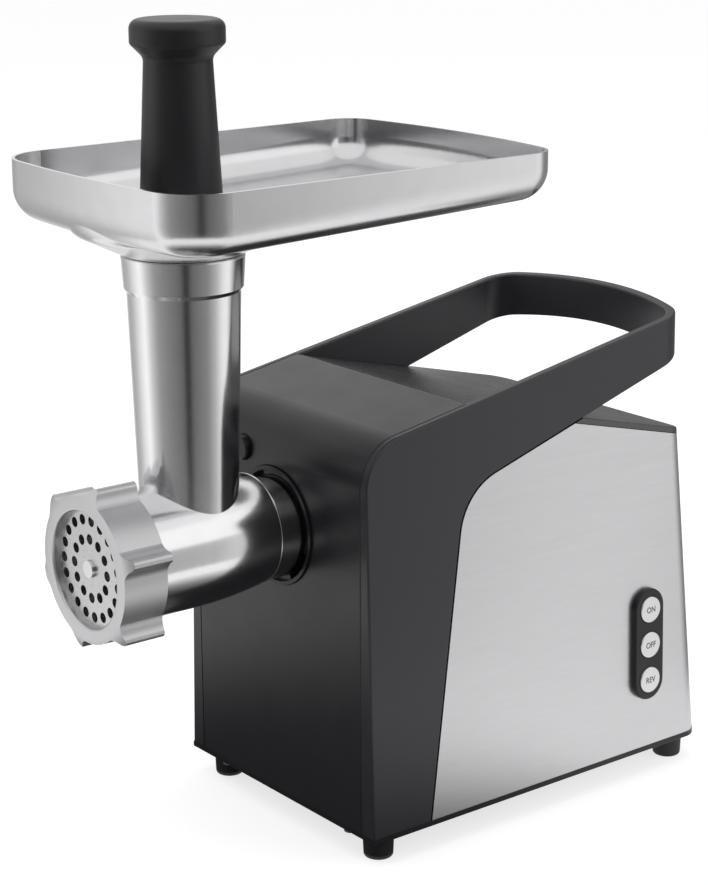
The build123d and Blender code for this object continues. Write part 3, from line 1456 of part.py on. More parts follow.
with BuildPart() as first_gear:
    pinion_phase = tooth_on(first_centre, second_centre)
    wheel_phase = gap_on(first_centre, motor_centre, FIRST_TEETH)
    extrude(
        gear_sketch(first_centre, second_y, FIRST_PINION_TEETH, SECOND_MODULE, pinion_phase),
        amount=-(first_y - second_y),
    )
    extrude(
        gear_sketch(first_centre, first_y, FIRST_TEETH, FIRST_MODULE, wheel_phase),
        amount=-FIRST_WIDTH,
    )
    with BuildSketch(station(second_y)):
        with Locations(first_centre):
            Circle(FIRST_AXLE_RADIUS + RUNNING)
    extrude(amount=-(first_y + FIRST_WIDTH - second_y), mode=Mode.SUBTRACT)
save(first_gear, "first_gear")

for axle_name, (centre, radius) in axle_places.items():
    with BuildPart() as axle:
        with BuildSketch(station(case_inside - AXLE_SEAT)):
            with Locations(centre):
                Circle(radius)
        extrude(amount=-(case_end - case_inside + 2 * AXLE_SEAT))
    save(axle, axle_name)

# Drive shaft: a square socket for the screw's tang ahead of the output gear's shaft

shaft_shoulder = CASE_FRONT - FREE
with BuildPart() as drive_shaft:
    with BuildSketch(Plane.YZ):
        with BuildLine():
            Polyline(
                (COUPLER_FRONT, AXIS_Z),
                (COUPLER_FRONT, AXIS_Z + COUPLER_RADIUS),
                (shaft_shoulder, AXIS_Z + COUPLER_RADIUS),
                (shaft_shoulder, AXIS_Z + SHAFT_RADIUS),
                (output_y + OUTPUT_WIDTH, AXIS_Z + SHAFT_RADIUS),
                (output_y + OUTPUT_WIDTH, AXIS_Z + SHAFT_REAR_RADIUS),
                (cover_end, AXIS_Z + SHAFT_REAR_RADIUS),
                (cover_end, AXIS_Z),
                close=True,
            )
        make_face()
    revolve(axis=GRIND_AXIS)
    tang_side = TANG + 2 * TANG_CLEARANCE
    with BuildSketch(station(COUPLER_FRONT)):
        with Locations(output_centre):
            Rectangle(tang_side, tang_side)
    extrude(amount=-(NECK_FLOOR_Y + TANG_LENGTH + FREE - COUPLER_FRONT), mode=Mode.SUBTRACT)
save(drive_shaft, "drive_shaft")

# Bushes in the gear case and its cover

bush_places = {
    "front_bush": (CASE_FRONT, CASE_WALL, SHAFT_RADIUS),
    "rear_bush": (case_end, CASE_WALL, SHAFT_REAR_RADIUS),
}
for bush_name, (bush_y, bush_length, bush_bore) in bush_places.items():
    with BuildPart() as bush:
        with BuildSketch(station(bush_y)):
            with Locations(output_centre):
                Circle(bush_bore + BUSH_WALL)
                Circle(bush_bore + RUNNING / 2, mode=Mode.SUBTRACT)
        extrude(amount=-bush_length)
    save(bush, bush_name)

# Motor: two end brackets with the bearings, and the turning and fixed pieces between them

for bracket_name, plate_y, boss_y in (
    ("motor_front_bracket", cover_end, cover_end),
    ("motor_rear_bracket", rear_bracket_y, rear_boss_y),
):
    with BuildPart() as bracket:
        with BuildSketch(station(plate_y)):
            with Locations(motor_centre):
                Rectangle(2 * BRACKET_HALF_WIDTH, 2 * BRACKET_HALF_HEIGHT)
        extrude(amount=-BRACKET_THICKNESS)
        with BuildSketch(station(boss_y)):
            with Locations(motor_centre):
                Circle(boss_radius)
        extrude(amount=-bracket_boss)
        with BuildSketch(station(boss_y)):
            with Locations(motor_centre):
                Circle(BEARING_RADIUS + SNUG)
        extrude(amount=-bracket_boss, mode=Mode.SUBTRACT)
        with BuildSketch(station(plate_y)):
            with Locations(*bolt_places):
                Circle(BOLT_RADIUS + BOND)
        extrude(amount=-BRACKET_THICKNESS, mode=Mode.SUBTRACT)
    save(bracket, bracket_name)

for bearing_name, bearing_y in (("front_bearing", front_bearing_y), ("rear_bearing", rear_bearing_y)):
    with BuildPart() as bearing:
        with BuildSketch(station(bearing_y)):
            with Locations(motor_centre):
                Circle(BEARING_RADIUS)
                Circle(MOTOR_SHAFT_RADIUS + RUNNING / 2, mode=Mode.SUBTRACT)
        extrude(amount=-BEARING_WIDTH)
    save(bearing, bearing_name)

with BuildPart() as motor_shaft:
    with BuildSketch(Plane.YZ):
        with BuildLine():
            Polyline(
                (pinion_y, MOTOR_Z),
                (pinion_y, MOTOR_Z + PINION_BORE),
                (pinion_end, MOTOR_Z + PINION_BORE),
                (pinion_end, MOTOR_Z + MOTOR_SHAFT_RADIUS),
                (shaft_end, MOTOR_Z + MOTOR_SHAFT_RADIUS),
                (shaft_end, MOTOR_Z),
                close=True,
            )
        make_face()
    revolve(axis=MOTOR_AXIS)
save(motor_shaft, "motor_shaft")

with BuildPart() as motor_pinion:
    motor_phase = tooth_on(motor_centre, first_centre)
    extrude(
        gear_sketch(motor_centre, pinion_y, PINION_TEETH, FIRST_MODULE, motor_phase),
        amount=-(pinion_end - pinion_y),
    )
    with BuildSketch(station(pinion_y)):
        with Locations(motor_centre):
            Circle(PINION_BORE + SNUG)
    extrude(amount=-(pinion_end - pinion_y), mode=Mode.SUBTRACT)
save(motor_pinion, "motor_pinion")

with BuildPart() as cooling_fan:
    with BuildSketch(station(fan_y)):
        with Locations(motor_centre):
            Circle(FAN_RADIUS)
    extrude(amount=-FAN_PLATE)
    with BuildSketch(station(fan_y)):
        with Locations(motor_centre):
            Circle(FAN_HUB)
            with PolarLocations((FAN_HUB + FAN_RADIUS) / 2 - FAN_PLATE, FAN_BLADES):
                Rectangle(FAN_RADIUS - FAN_HUB, FAN_PLATE)
    extrude(amount=-FAN_WIDTH)
    with BuildSketch(station(fan_y)):
        with Locations(motor_centre):
            Circle(MOTOR_SHAFT_RADIUS + SNUG)
    extrude(amount=-FAN_WIDTH, mode=Mode.SUBTRACT)
save(cooling_fan, "cooling_fan")

slot_middle = (SLOT_INNER + SLOT_OUTER) / 2
with BuildPart() as armature_core:
    with BuildSketch(station(stator_y)):
        with Locations(motor_centre):
            Circle(ARMATURE_RADIUS)
            Circle(MOTOR_SHAFT_RADIUS + SNUG, mode=Mode.SUBTRACT)
            with PolarLocations(slot_middle, ARMATURE_SLOTS):
                Rectangle(SLOT_OUTER - SLOT_INNER, SLOT_WIDTH, mode=Mode.SUBTRACT)
    extrude(amount=-STATOR_LENGTH)
save(armature_core, "armature_core")

with BuildPart() as armature_winding:
    with BuildSketch(station(stator_y)):
        with Locations(motor_centre):
            with PolarLocations(slot_middle, ARMATURE_SLOTS):
                Rectangle(SLOT_OUTER - SLOT_INNER - BOND, SLOT_WIDTH - BOND)
    extrude(amount=-STATOR_LENGTH)
    for winding_y in (stator_y - WINDING_OVERHANG, stator_end):
        with BuildSketch(station(winding_y)):
            with Locations(motor_centre):
                Circle(SLOT_OUTER)
                Circle(SLOT_INNER, mode=Mode.SUBTRACT)
        extrude(amount=-WINDING_OVERHANG)
save(armature_winding, "armature_winding")

with BuildPart() as commutator:
    with BuildSketch(station(commutator_y)):
        with Locations(motor_centre):
            Circle(COMMUTATOR_RADIUS)
            Circle(MOTOR_SHAFT_RADIUS + SNUG, mode=Mode.SUBTRACT)
    extrude(amount=-COMMUTATOR_LENGTH)
save(commutator, "commutator")

stator_bore = ARMATURE_RADIUS + AIR_GAP
coil_inner = stator_bore + FREE
coil_outer = coil_inner + COIL_WIDTH
coil_low = COIL_SPLIT
coil_high = COIL_SPLIT + COIL_HEIGHT
with BuildPart() as stator_core:
    with BuildSketch(station(stator_y)):
        with Locations(motor_centre):
            RectangleRounded(2 * STATOR_HALF_WIDTH, 2 * STATOR_HALF_HEIGHT, STATOR_CORNER)
            Circle(stator_bore, mode=Mode.SUBTRACT)
            Rectangle(
                2 * (coil_outer + FREE), 2 * (coil_high + FREE), mode=Mode.SUBTRACT
            )
        with Locations(*bolt_places):
            Circle(BOLT_RADIUS + BOND, mode=Mode.SUBTRACT)
    extrude(amount=-STATOR_LENGTH)
save(stator_core, "stator_core")

with BuildPart() as field_coils:
    for side in (1, -1):
        for coil_y in (stator_y - COIL_OVERHANG, stator_end):
            with BuildSketch(station(coil_y)):
                with Locations(motor_centre):
                    Circle(coil_outer)
                    Circle(coil_inner, mode=Mode.SUBTRACT)
                with Locations((0, MOTOR_Z + side * (coil_low + coil_outer / 2))):
                    Rectangle(2 * coil_outer, coil_outer, mode=Mode.INTERSECT)
            extrude(amount=-COIL_OVERHANG)
        with BuildSketch(station(stator_y)):
            leg_z = MOTOR_Z + side * (coil_low + coil_high) / 2
            leg_x = (coil_inner + coil_outer) / 2
            with Locations((leg_x, leg_z), (-leg_x, leg_z)):
                Rectangle(COIL_LEG, COIL_HEIGHT)
        extrude(amount=-STATOR_LENGTH)
save(field_coils, "field_coils")

brush_y = commutator_y + COMMUTATOR_LENGTH / 2
brush_start = COMMUTATOR_RADIUS + FREE
holder_side = BRUSH_SIDE + 2 * (BRUSH_TUBE + BOND)
with BuildPart() as carbon_brushes:
    for side in (1, -1):
        with Locations((side * (brush_start + BRUSH_LENGTH / 2), brush_y, MOTOR_Z)):
            Box(BRUSH_LENGTH, BRUSH_SIDE, BRUSH_SIDE)
save(carbon_brushes, "carbon_brushes")

with BuildPart() as brush_holders:
    for side in (1, -1):
        with Locations((side * (brush_start + BRUSH_LENGTH / 2 + GEAR_GAP), brush_y, MOTOR_Z)):
            Box(BRUSH_LENGTH, holder_side, holder_side)
            Box(
                BRUSH_LENGTH,
                BRUSH_SIDE + 2 * BOND,
                BRUSH_SIDE + 2 * BOND,
                mode=Mode.SUBTRACT,
            )
        arm_x = brush_start + GEAR_GAP + BRUSH_LENGTH - BRUSH_TUBE
        arm_y = (brush_y + holder_side / 2 + rear_bracket_y) / 2
        with Locations((side * arm_x, arm_y, MOTOR_Z)):
            Box(2 * BRUSH_TUBE, rear_bracket_y - brush_y - holder_side / 2, BRUSH_SIDE)
save(brush_holders, "brush_holders")

with BuildPart() as motor_bolts:
    with BuildSketch(station(cover_end - BOLT_THREAD)):
        with Locations(*bolt_places):
            Circle(BOLT_RADIUS)
    extrude(amount=-(bracket_end - cover_end + BOLT_THREAD))
    with BuildSketch(station(bracket_end)):
        with Locations(*bolt_places):
            Circle(SCREW_HEAD_RADIUS)
    extrude(amount=-SCREW_HEAD)
save(motor_bolts, "motor_bolts")

# Motor cradle: a saddle on the base plate under the stator

stator_low = MOTOR_Z - STATOR_HALF_HEIGHT
cradle_foot = POST_X + CRADLE_MARGIN
with BuildPart() as motor_cradle:
    with BuildSketch(station(stator_y + CRADLE_INSET)):
        with BuildLine():
            Polyline(
                (-cradle_foot, BASE_TOP),
                (cradle_foot, BASE_TOP),
                (cradle_foot, BASE_TOP + PLASTIC_WALL),
                (STATOR_HALF_WIDTH + PLASTIC_WALL + BOND, BASE_TOP + PLASTIC_WALL),
                (STATOR_HALF_WIDTH + PLASTIC_WALL + BOND, stator_low + CRADLE_LIP),
                (STATOR_HALF_WIDTH + BOND, stator_low + CRADLE_LIP),
                (STATOR_HALF_WIDTH + BOND, stator_low),
                (-STATOR_HALF_WIDTH - BOND, stator_low),
                (-STATOR_HALF_WIDTH - BOND, stator_low + CRADLE_LIP),
                (-STATOR_HALF_WIDTH - PLASTIC_WALL - BOND, stator_low + CRADLE_LIP),
                (-STATOR_HALF_WIDTH - PLASTIC_WALL - BOND, BASE_TOP + PLASTIC_WALL),
                (-cradle_foot, BASE_TOP + PLASTIC_WALL),
                close=True,
            )
        make_face()
    extrude(amount=-(STATOR_LENGTH - 2 * CRADLE_INSET))
    with BuildSketch(station(stator_y + CRADLE_INSET)):
        with Locations((0, (BASE_TOP + stator_low) / 2)):
            Rectangle(
                2 * (STATOR_HALF_WIDTH - PLASTIC_WALL),
                stator_low - BASE_TOP - 2 * PLASTIC_WALL,
            )
    extrude(amount=-(STATOR_LENGTH - 2 * CRADLE_INSET), mode=Mode.SUBTRACT)
    with BuildSketch(Plane.XY.offset(BASE_TOP)):
        with Locations((-POST_X, cradle_y), (POST_X, cradle_y)):
            Circle(SCREW_SHANK + BOND)
    extrude(amount=PLASTIC_WALL, mode=Mode.SUBTRACT)
save(motor_cradle, "motor_cradle")

# Base screws, up through the base plate into the posts and the cradle's feet

with BuildPart() as base_screws:
    with BuildSketch(Plane.XY.offset(BASE_BOTTOM)):
        with Locations(*base_screw_places):
            Circle(SCREW_HEAD_RADIUS)
    extrude(amount=-SCREW_HEAD)
    with BuildSketch(Plane.XY.offset(BASE_BOTTOM)):
        with Locations(*base_screw_places):
            Circle(SCREW_SHANK)
    extrude(amount=SCREW_LENGTH)
save(base_screws, "base_screws")
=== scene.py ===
# %% [markdown]
# # Dressing an electric meat grinder
# The grinder's solids are already drawn to size: covers, handle, head, tray, motor and gears.
# This lesson loads them as a fixed frame, gives each surface the finish of the real material,
# adds the small things that only the eye needs, and lights the whole for its portrait.
# Nothing here moves or resizes a solid, so every joint still works when the part is posed.

# %% Load the solids as a fixed frame
import json
import math

import bpy
from mathutils import Matrix, Vector

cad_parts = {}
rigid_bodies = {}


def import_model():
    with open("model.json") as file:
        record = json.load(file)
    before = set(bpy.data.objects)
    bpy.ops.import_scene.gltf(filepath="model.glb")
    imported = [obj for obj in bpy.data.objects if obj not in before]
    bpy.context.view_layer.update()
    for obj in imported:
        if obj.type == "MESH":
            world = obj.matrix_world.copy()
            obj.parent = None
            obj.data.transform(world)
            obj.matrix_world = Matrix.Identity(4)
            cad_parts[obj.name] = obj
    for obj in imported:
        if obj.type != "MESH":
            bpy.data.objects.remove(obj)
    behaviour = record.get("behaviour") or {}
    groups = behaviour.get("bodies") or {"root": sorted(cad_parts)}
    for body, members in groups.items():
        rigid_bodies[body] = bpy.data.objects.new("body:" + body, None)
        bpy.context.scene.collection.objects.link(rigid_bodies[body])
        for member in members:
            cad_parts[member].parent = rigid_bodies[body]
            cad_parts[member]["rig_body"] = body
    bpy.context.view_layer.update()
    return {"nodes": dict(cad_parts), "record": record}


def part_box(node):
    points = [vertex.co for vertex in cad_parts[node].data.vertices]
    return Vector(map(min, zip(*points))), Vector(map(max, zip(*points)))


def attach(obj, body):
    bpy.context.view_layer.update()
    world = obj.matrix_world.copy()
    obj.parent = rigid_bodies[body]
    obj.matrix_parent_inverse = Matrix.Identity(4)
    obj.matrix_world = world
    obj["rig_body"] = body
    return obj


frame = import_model()
solids = frame["nodes"]
MM = 0.001

# %% [markdown]
# ## The camera
# The portrait looks at the front and the button side from a little above. A long lens keeps the
# handle and the tray from flaring. The camera could be aimed by a constraint, but a place and
# three angles say the same in numbers that can be read: yaw turns it round the table, pitch tips
# it down, and roll levels it.

# %% Place the camera
CAMERA_PLACE = Vector((0.77274, -0.60794, 0.44693))
CAMERA_YAW = math.radians(52.15)
CAMERA_PITCH = math.radians(15.72)
CAMERA_ROLL = math.radians(-0.31)
LENS = 91.77

towards_lens = Vector(
    (
        math.sin(CAMERA_YAW) * math.cos(CAMERA_PITCH),
        -math.cos(CAMERA_YAW) * math.cos(CAMERA_PITCH),
        math.sin(CAMERA_PITCH),
    )
)
level_right = Vector((0, 0, 1)).cross(towards_lens).normalized()
level_up = towards_lens.cross(level_right)
level_view = Matrix((level_right, level_up, towards_lens)).transposed()
view_turn = Matrix.Rotation(CAMERA_ROLL, 3, towards_lens) @ level_view

bpy.ops.object.select_all(action="DESELECT")
bpy.ops.object.camera_add(location=CAMERA_PLACE, rotation=view_turn.to_euler())
camera = bpy.context.object
camera.name = "portrait_camera"
camera.data.lens = LENS
bpy.context.scene.camera = camera
bpy.context.scene.view_settings.view_transform = "Standard"
print(f"camera {CAMERA_PLACE.length:.2f} m from the middle of the footprint")

# %% [markdown]
# ## The floor and the room
# The grinder stands on a plain white sweep. Seen by the camera, or mirrored in metal, the floor
# and the room are white; for all other light the room is a soft, dimmer dome. Light Path tells the
# two cases apart. Part of the floor's white is ordinary matt paint, so it still takes the shadow.

# %% Make the floor and the room
FLOOR_SIZE = 16.0
FLOOR_GLOW = 0.72
FLOOR_PAINT = (0.47, 0.47, 0.47, 1)
ROOM_LIGHT = 0.55


def seen_directly(tree):
    """A value that is 1 for rays that show the background: camera, mirror and glass rays."""
    path = tree.nodes.new("ShaderNodeLightPath")
    either = tree.nodes.new("ShaderNodeMath")
    either.operation = "MAXIMUM"
    any_of = tree.nodes.new("ShaderNodeMath")
    any_of.operation = "MAXIMUM"
    tree.links.new(path.outputs["Is Camera Ray"], either.inputs[0])
    tree.links.new(path.outputs["Is Glossy Ray"], either.inputs[1])
    tree.links.new(either.outputs[0], any_of.inputs[0])
    tree.links.new(path.outputs["Is Transmission Ray"], any_of.inputs[1])
    return any_of.outputs[0]


def white_room():
    """A world that looks white and lights softly."""
    world = bpy.data.worlds.new("white_room")
    bpy.context.scene.world = world
    world.use_nodes = True
    tree = world.node_tree
    soft = tree.nodes["Background"]
    soft.inputs["Color"].default_value = (1, 1, 1, 1)
    soft.inputs["Strength"].default_value = ROOM_LIGHT
    white = tree.nodes.new("ShaderNodeBackground")
    white.inputs["Color"].default_value = (1, 1, 1, 1)
    white.inputs["Strength"].default_value = 1.0
    choice = tree.nodes.new("ShaderNodeMixShader")
    tree.links.new(seen_directly(tree), choice.inputs[0])
    tree.links.new(soft.outputs[0], choice.inputs[1])
    tree.links.new(white.outputs[0], choice.inputs[2])
    tree.links.new(choice.outputs[0], tree.nodes["World Output"].inputs["Surface"])


def floor_finish():
    """Matt white paint plus a glow that only the camera and mirrors see."""
    finish = bpy.data.materials.new("floor_white")
    finish.use_nodes = True
    tree = finish.node_tree
    tree.nodes.remove(tree.nodes["Principled BSDF"])
    paint = tree.nodes.new("ShaderNodeBsdfDiffuse")
    paint.inputs["Color"].default_value = FLOOR_PAINT
    glow = tree.nodes.new("ShaderNodeEmission")
    strength = tree.nodes.new("ShaderNodeMath")
    strength.operation = "MULTIPLY"
    strength.inputs[1].default_value = FLOOR_GLOW
    both = tree.nodes.new("ShaderNodeAddShader")
    tree.links.new(seen_directly(tree), strength.inputs[0])
    tree.links.new(strength.outputs[0], glow.inputs["Strength"])
    tree.links.new(paint.outputs[0], both.inputs[0])
    tree.links.new(glow.outputs[0], both.inputs[1])
    tree.links.new(both.outputs[0], tree.nodes["Material Output"].inputs["Surface"])
    return finish


white_room()
bpy.ops.object.select_all(action="DESELECT")
bpy.ops.mesh.primitive_plane_add(size=FLOOR_SIZE)
floor = bpy.context.object
floor.name = "floor"
floor.data.materials.append(floor_finish())
print("floor and room are white")

# %% [markdown]
# ## Soft boxes
# Light comes from three soft boxes: a wide one overhead, one to the left of the front and one on
# the button side, a little to the rear. They could be glowing planes, but area lamps are cleaner in
# the picture and their power is one number. Each lamp is turned until its own Z axis points away
# from the middle of the grinder. The metal is to mirror the cards of the next steps and not the
# lamps, which would burn white patches into it, so mirror rays don't see the lamps.

# %% Hang the lights
SOFT_BOXES = {
    "top_box": {"place": (0.1, -0.2, 1.9), "size": (1.6, 1.6), "power": 11.0},
    "left_box": {"place": (-1.5, -0.9, 1.0), "size": (0.9, 1.4), "power": 9.0},
    "right_box": {"place": (1.6, 0.9, 1.0), "size": (0.9, 1.4), "power": 8.0},
}
GRINDER_MIDDLE = Vector((0.0, -0.03, 0.18))

bpy.ops.object.select_all(action="DESELECT")
for box_name, box in SOFT_BOXES.items():
    away = Vector(box["place"]) - GRINDER_MIDDLE
    bpy.ops.object.light_add(
        type="AREA", location=box["place"], rotation=away.to_track_quat("Z", "Y").to_euler()
    )
    lamp = bpy.context.object
    lamp.name = box_name
    lamp.data.shape = "RECTANGLE"
    lamp.data.size, lamp.data.size_y = box["size"]
    lamp.data.energy = box["power"]
    lamp.visible_glossy = False
print(f"{len(SOFT_BOXES)} soft boxes")

# %% [markdown]
# ## Cards for the metal to mirror
# Bright metal shows only what surrounds it, so a studio hangs white, grey and black cards round it.
# They could be boards that every ray sees, but those would shade the grinder and stand in the
# picture. Here only mirror rays see the cards. Each card glows, and its tone follows a gradient in
# its own coordinates.

# %% Helpers for cards
def card_finish(name, gradient, scale, tones):
    """A glowing card whose tone follows a gradient of the card's own coordinates."""
    finish = bpy.data.materials.new(name)
    finish.use_nodes = True
    tree = finish.node_tree
    tree.nodes.remove(tree.nodes["Principled BSDF"])
    place = tree.nodes.new("ShaderNodeTexCoord")
    mapping = tree.nodes.new("ShaderNodeMapping")
    mapping.inputs["Scale"].default_value = (scale, scale, scale)
    blend = tree.nodes.new("ShaderNodeTexGradient")
    blend.gradient_type = gradient
    ramp = tree.nodes.new("ShaderNodeValToRGB")
    first, *between, last = tones
    for element, (position, tone) in zip(ramp.color_ramp.elements, (first, last)):
        element.position = position
        element.color = (tone, tone, tone, 1)
    for position, tone in between:
        ramp.color_ramp.elements.new(position).color = (tone, tone, tone, 1)
    glow = tree.nodes.new("ShaderNodeEmission")
    tree.links.new(place.outputs["Object"], mapping.inputs["Vector"])
    tree.links.new(mapping.outputs["Vector"], blend.inputs["Vector"])
    tree.links.new(blend.outputs["Fac"], ramp.inputs["Fac"])
    tree.links.new(ramp.outputs["Color"], glow.inputs["Color"])
    tree.links.new(glow.outputs[0], tree.nodes["Material Output"].inputs["Surface"])
    return finish


def mirror_only(card):
    """Hide a card from everything but mirror rays, and keep it out of the object."""
    card.visible_camera = False
    card.visible_diffuse = False
    card.visible_transmission = False
    card.visible_shadow = False


print("cards are seen by mirror rays alone")

# %% [markdown]
# ## The graded bowl
# Upright metal seen from above mirrors the floor a short way off, so the cards round the feed tube
# form one wide bowl that rises from the floor. Separate cards would leave hard edges in the metal.
# In the bowl the tone changes with the bearing round the tube, given in degrees, and one thin black
# strip makes the round tube read as round.

# %% Hang the graded bowl
HEAD_AXIS = Vector((0, -0.0969, 0))
BOWL_SIDES = 180
BOWL_FLOOR_RADIUS = 0.36
BOWL_RIM_RADIUS = 2.4
BOWL_HEIGHT = 1.6
WHITE, PALE, GREY, DIM, BLACK = 1.0, 0.55, 0.28, 0.16, 0.04
BOWL_TONES = {
    -180: 0.45,
    -158: 0.6,
    -140: 0.95,
    -122: 1.25,
    -106: 0.7,
    -90: 0.38,
    -72: GREY,
    -40: DIM,
    -32: BLACK,
    -27: BLACK,
    -19: DIM,
    12: GREY,
    30: PALE,
    46: WHITE,
    60: 1.1,
    76: GREY,
    126: GREY,
    137: WHITE,
    152: WHITE,
    180: 0.45,
}
bowl_tones = [((degrees + 180) / 360, tone) for degrees, tone in BOWL_TONES.items()]

bpy.ops.object.select_all(action="DESELECT")
bpy.ops.mesh.primitive_cone_add(
    vertices=BOWL_SIDES,
    radius1=BOWL_FLOOR_RADIUS,
    radius2=BOWL_RIM_RADIUS,
    depth=BOWL_HEIGHT,
    end_fill_type="NOTHING",
    location=HEAD_AXIS + Vector((0, 0, BOWL_HEIGHT / 2)),
)
bowl = bpy.context.object
bowl.name = "graded_bowl"
bowl.data.materials.append(card_finish("graded_card", "RADIAL", 1.0, bowl_tones))
mirror_only(bowl)
print(f"bowl with {len(BOWL_TONES)} tones")

# %% [markdown]
# ## The dark card
# Metal that faces down under the head mirrors little but shadow. A large dark floor would blacken
# the steel sides as well, so a small round card lies under the head alone. It is black in the
# middle and grows light towards its rim, which leaves no edge in the metal.

# %% Lay the dark card under the head
DARK_CARD_SIDES = 96
DARK_CARD_RADIUS = 0.215
DARK_CARD_LIFT = 2 * MM
DARK_TONES = ((0.0, 0.9), (0.13, 0.65), (0.3, GREY), (0.5, 0.08), (1.0, 0.08))

bpy.ops.object.select_all(action="DESELECT")
bpy.ops.mesh.primitive_circle_add(
    vertices=DARK_CARD_SIDES,
    radius=DARK_CARD_RADIUS,
    fill_type="NGON",
    location=HEAD_AXIS + Vector((0, 0, DARK_CARD_LIFT)),
)
dark_card = bpy.context.object
dark_card.name = "dark_card"
dark_card.data.materials.append(card_finish("dark_card", "SPHERICAL", 1 / DARK_CARD_RADIUS, DARK_TONES))
mirror_only(dark_card)
print("dark card under the head")

# %% [markdown]
# ## The white panel
# The barrel needs a bright streak along its side. The bowl could be made brighter there, but the
# feed tube would mirror that too, so an upright panel of one even tone stands on the right.

# %% Stand the white panel on the right
PANEL_BEARING = math.radians(36)
PANEL_DISTANCE = 0.75
PANEL_MIDDLE_HEIGHT = 0.48
PANEL_SIZE = 0.7
PANEL_TONE = 1.2
PANEL_TONES = ((0.0, PANEL_TONE), (1.0, PANEL_TONE))

bearing = Vector((math.cos(PANEL_BEARING), math.sin(PANEL_BEARING), 0))
bpy.ops.object.select_all(action="DESELECT")
bpy.ops.mesh.primitive_plane_add(
    size=PANEL_SIZE,
    location=HEAD_AXIS + bearing * PANEL_DISTANCE + Vector((0, 0, PANEL_MIDDLE_HEIGHT)),
    rotation=(-bearing).to_track_quat("Z", "Y").to_euler(),
)
panel = bpy.context.object
panel.name = "white_panel"
panel.data.materials.append(card_finish("white_panel", "LINEAR", 1.0, PANEL_TONES))
mirror_only(panel)
print("white panel on the right")

# %% [markdown]
# ## How a finish is built
# Each finish starts from one Principled shader with its plain values set on its own sockets. Real
# surfaces are never quite even, so noise in the object's own coordinates then varies the colour,
# the roughness or the height a little. It could be drawn into image textures, but noise has no
# seams and needs no file. The helpers below add one such variation each, so a finish reads as a
# short list of what the real surface has. Noise seldom leaves the span from 0.3 to 0.7, so that
# span is stretched over the whole variation.

# %% Helpers for finishes
NOISE_LOW, NOISE_HIGH = 0.3, 0.7


def new_finish(name, colour, roughness, metallic=0.0, specular=0.5):
    """A material whose Principled shader holds the plain values."""
    finish = bpy.data.materials.new(name)
    finish.use_nodes = True
    shader = finish.node_tree.nodes["Principled BSDF"]
    shader.inputs["Base Color"].default_value = (*colour, 1.0)
    shader.inputs["Roughness"].default_value = roughness
    shader.inputs["Metallic"].default_value = metallic
    shader.inputs["Specular IOR Level"].default_value = specular
    return finish


def add_noise(finish, size, stretch=(1, 1, 1), detail=2.0):
    """Noise with blobs about size metres across, drawn out by the three stretch factors."""
    tree = finish.node_tree
    place = tree.nodes.new("ShaderNodeTexCoord")
    mapping = tree.nodes.new("ShaderNodeMapping")
    mapping.inputs["Scale"].default_value = [1 / (size * factor) for factor in stretch]
    noise = tree.nodes.new("ShaderNodeTexNoise")
    noise.inputs["Scale"].default_value = 1.0
    noise.inputs["Detail"].default_value = detail
    tree.links.new(place.outputs["Object"], mapping.inputs["Vector"])
    tree.links.new(mapping.outputs["Vector"], noise.inputs["Vector"])
    return noise.outputs["Fac"]


def vary_colour(finish, value, dark, light):
    """The base colour runs from dark to light with the value."""
    tree = finish.node_tree
    ramp = tree.nodes.new("ShaderNodeValToRGB")
    ends = zip(ramp.color_ramp.elements, (NOISE_LOW, NOISE_HIGH), (dark, light))
    for element, position, colour in ends:
        element.color = (*colour, 1)
        element.position = position
    tree.links.new(value, ramp.inputs["Fac"])
    tree.links.new(ramp.outputs["Color"], tree.nodes["Principled BSDF"].inputs["Base Color"])


def vary_roughness(finish, value, smooth, rough):
    """The roughness runs from smooth to rough with the value."""
    tree = finish.node_tree
    span = tree.nodes.new("ShaderNodeMapRange")
    span.inputs["From Min"].default_value = NOISE_LOW
    span.inputs["From Max"].default_value = NOISE_HIGH
    span.inputs["To Min"].default_value = smooth
    span.inputs["To Max"].default_value = rough
    tree.links.new(value, span.inputs["Value"])
    tree.links.new(span.outputs["Result"], tree.nodes["Principled BSDF"].inputs["Roughness"])


def add_bump(finish, value, height, strength=1.0):
    """The surface rises by up to height metres with the value, on top of earlier bumps."""
    tree = finish.node_tree
    normal = tree.nodes["Principled BSDF"].inputs["Normal"]
    bump = tree.nodes.new("ShaderNodeBump")
    bump.inputs["Distance"].default_value = height
    bump.inputs["Strength"].default_value = strength
    if normal.is_linked:
        tree.links.new(normal.links[0].from_socket, bump.inputs["Normal"])
    tree.links.new(value, bump.inputs["Height"])
    tree.links.new(bump.outputs["Normal"], normal)


def shade(colour, factor):
    """A colour made darker or lighter by a factor."""
    return tuple(min(1.0, channel * factor) for channel in colour)


print(f"noise is stretched from {NOISE_LOW} to {NOISE_HIGH}")

# %% [markdown]
# ## Moulded plastic and rubber
# The covers, handle and pusher are injection moulded in black, with the fine even grain of a
# spark-eroded mould. Each moulding has its own gloss. The handle, the front cover and the pusher
# are also painted in lighter copies of the one black, and the top cover in a lighter grey. These
# tones are painted light, for the light that falls on each.
# The grain is too small to see as bumps at this distance, but it spreads the highlights. A slow
# second noise stands for the slight unevenness of a moulded wall.

# %% Plastic finishes
MOULD_GRAIN = 0.25 * MM
RUBBER_GRAIN = 0.5 * MM


def moulded_plastic(name, colour, roughness, grain=MOULD_GRAIN, specular=0.5):
    """Satin plastic with a fine mould grain and a slow change of gloss."""
    finish = new_finish(name, colour, roughness, specular=specular)
    add_bump(finish, add_noise(finish, grain), height=0.02 * MM, strength=0.4)
    patches = add_noise(finish, size=18 * MM)
    vary_roughness(finish, patches, smooth=roughness - 0.02, rough=roughness + 0.03)
    speckle = add_noise(finish, size=0.6 * MM)
    vary_colour(finish, speckle, dark=shade(colour, 0.9), light=shade(colour, 1.1))
    return finish


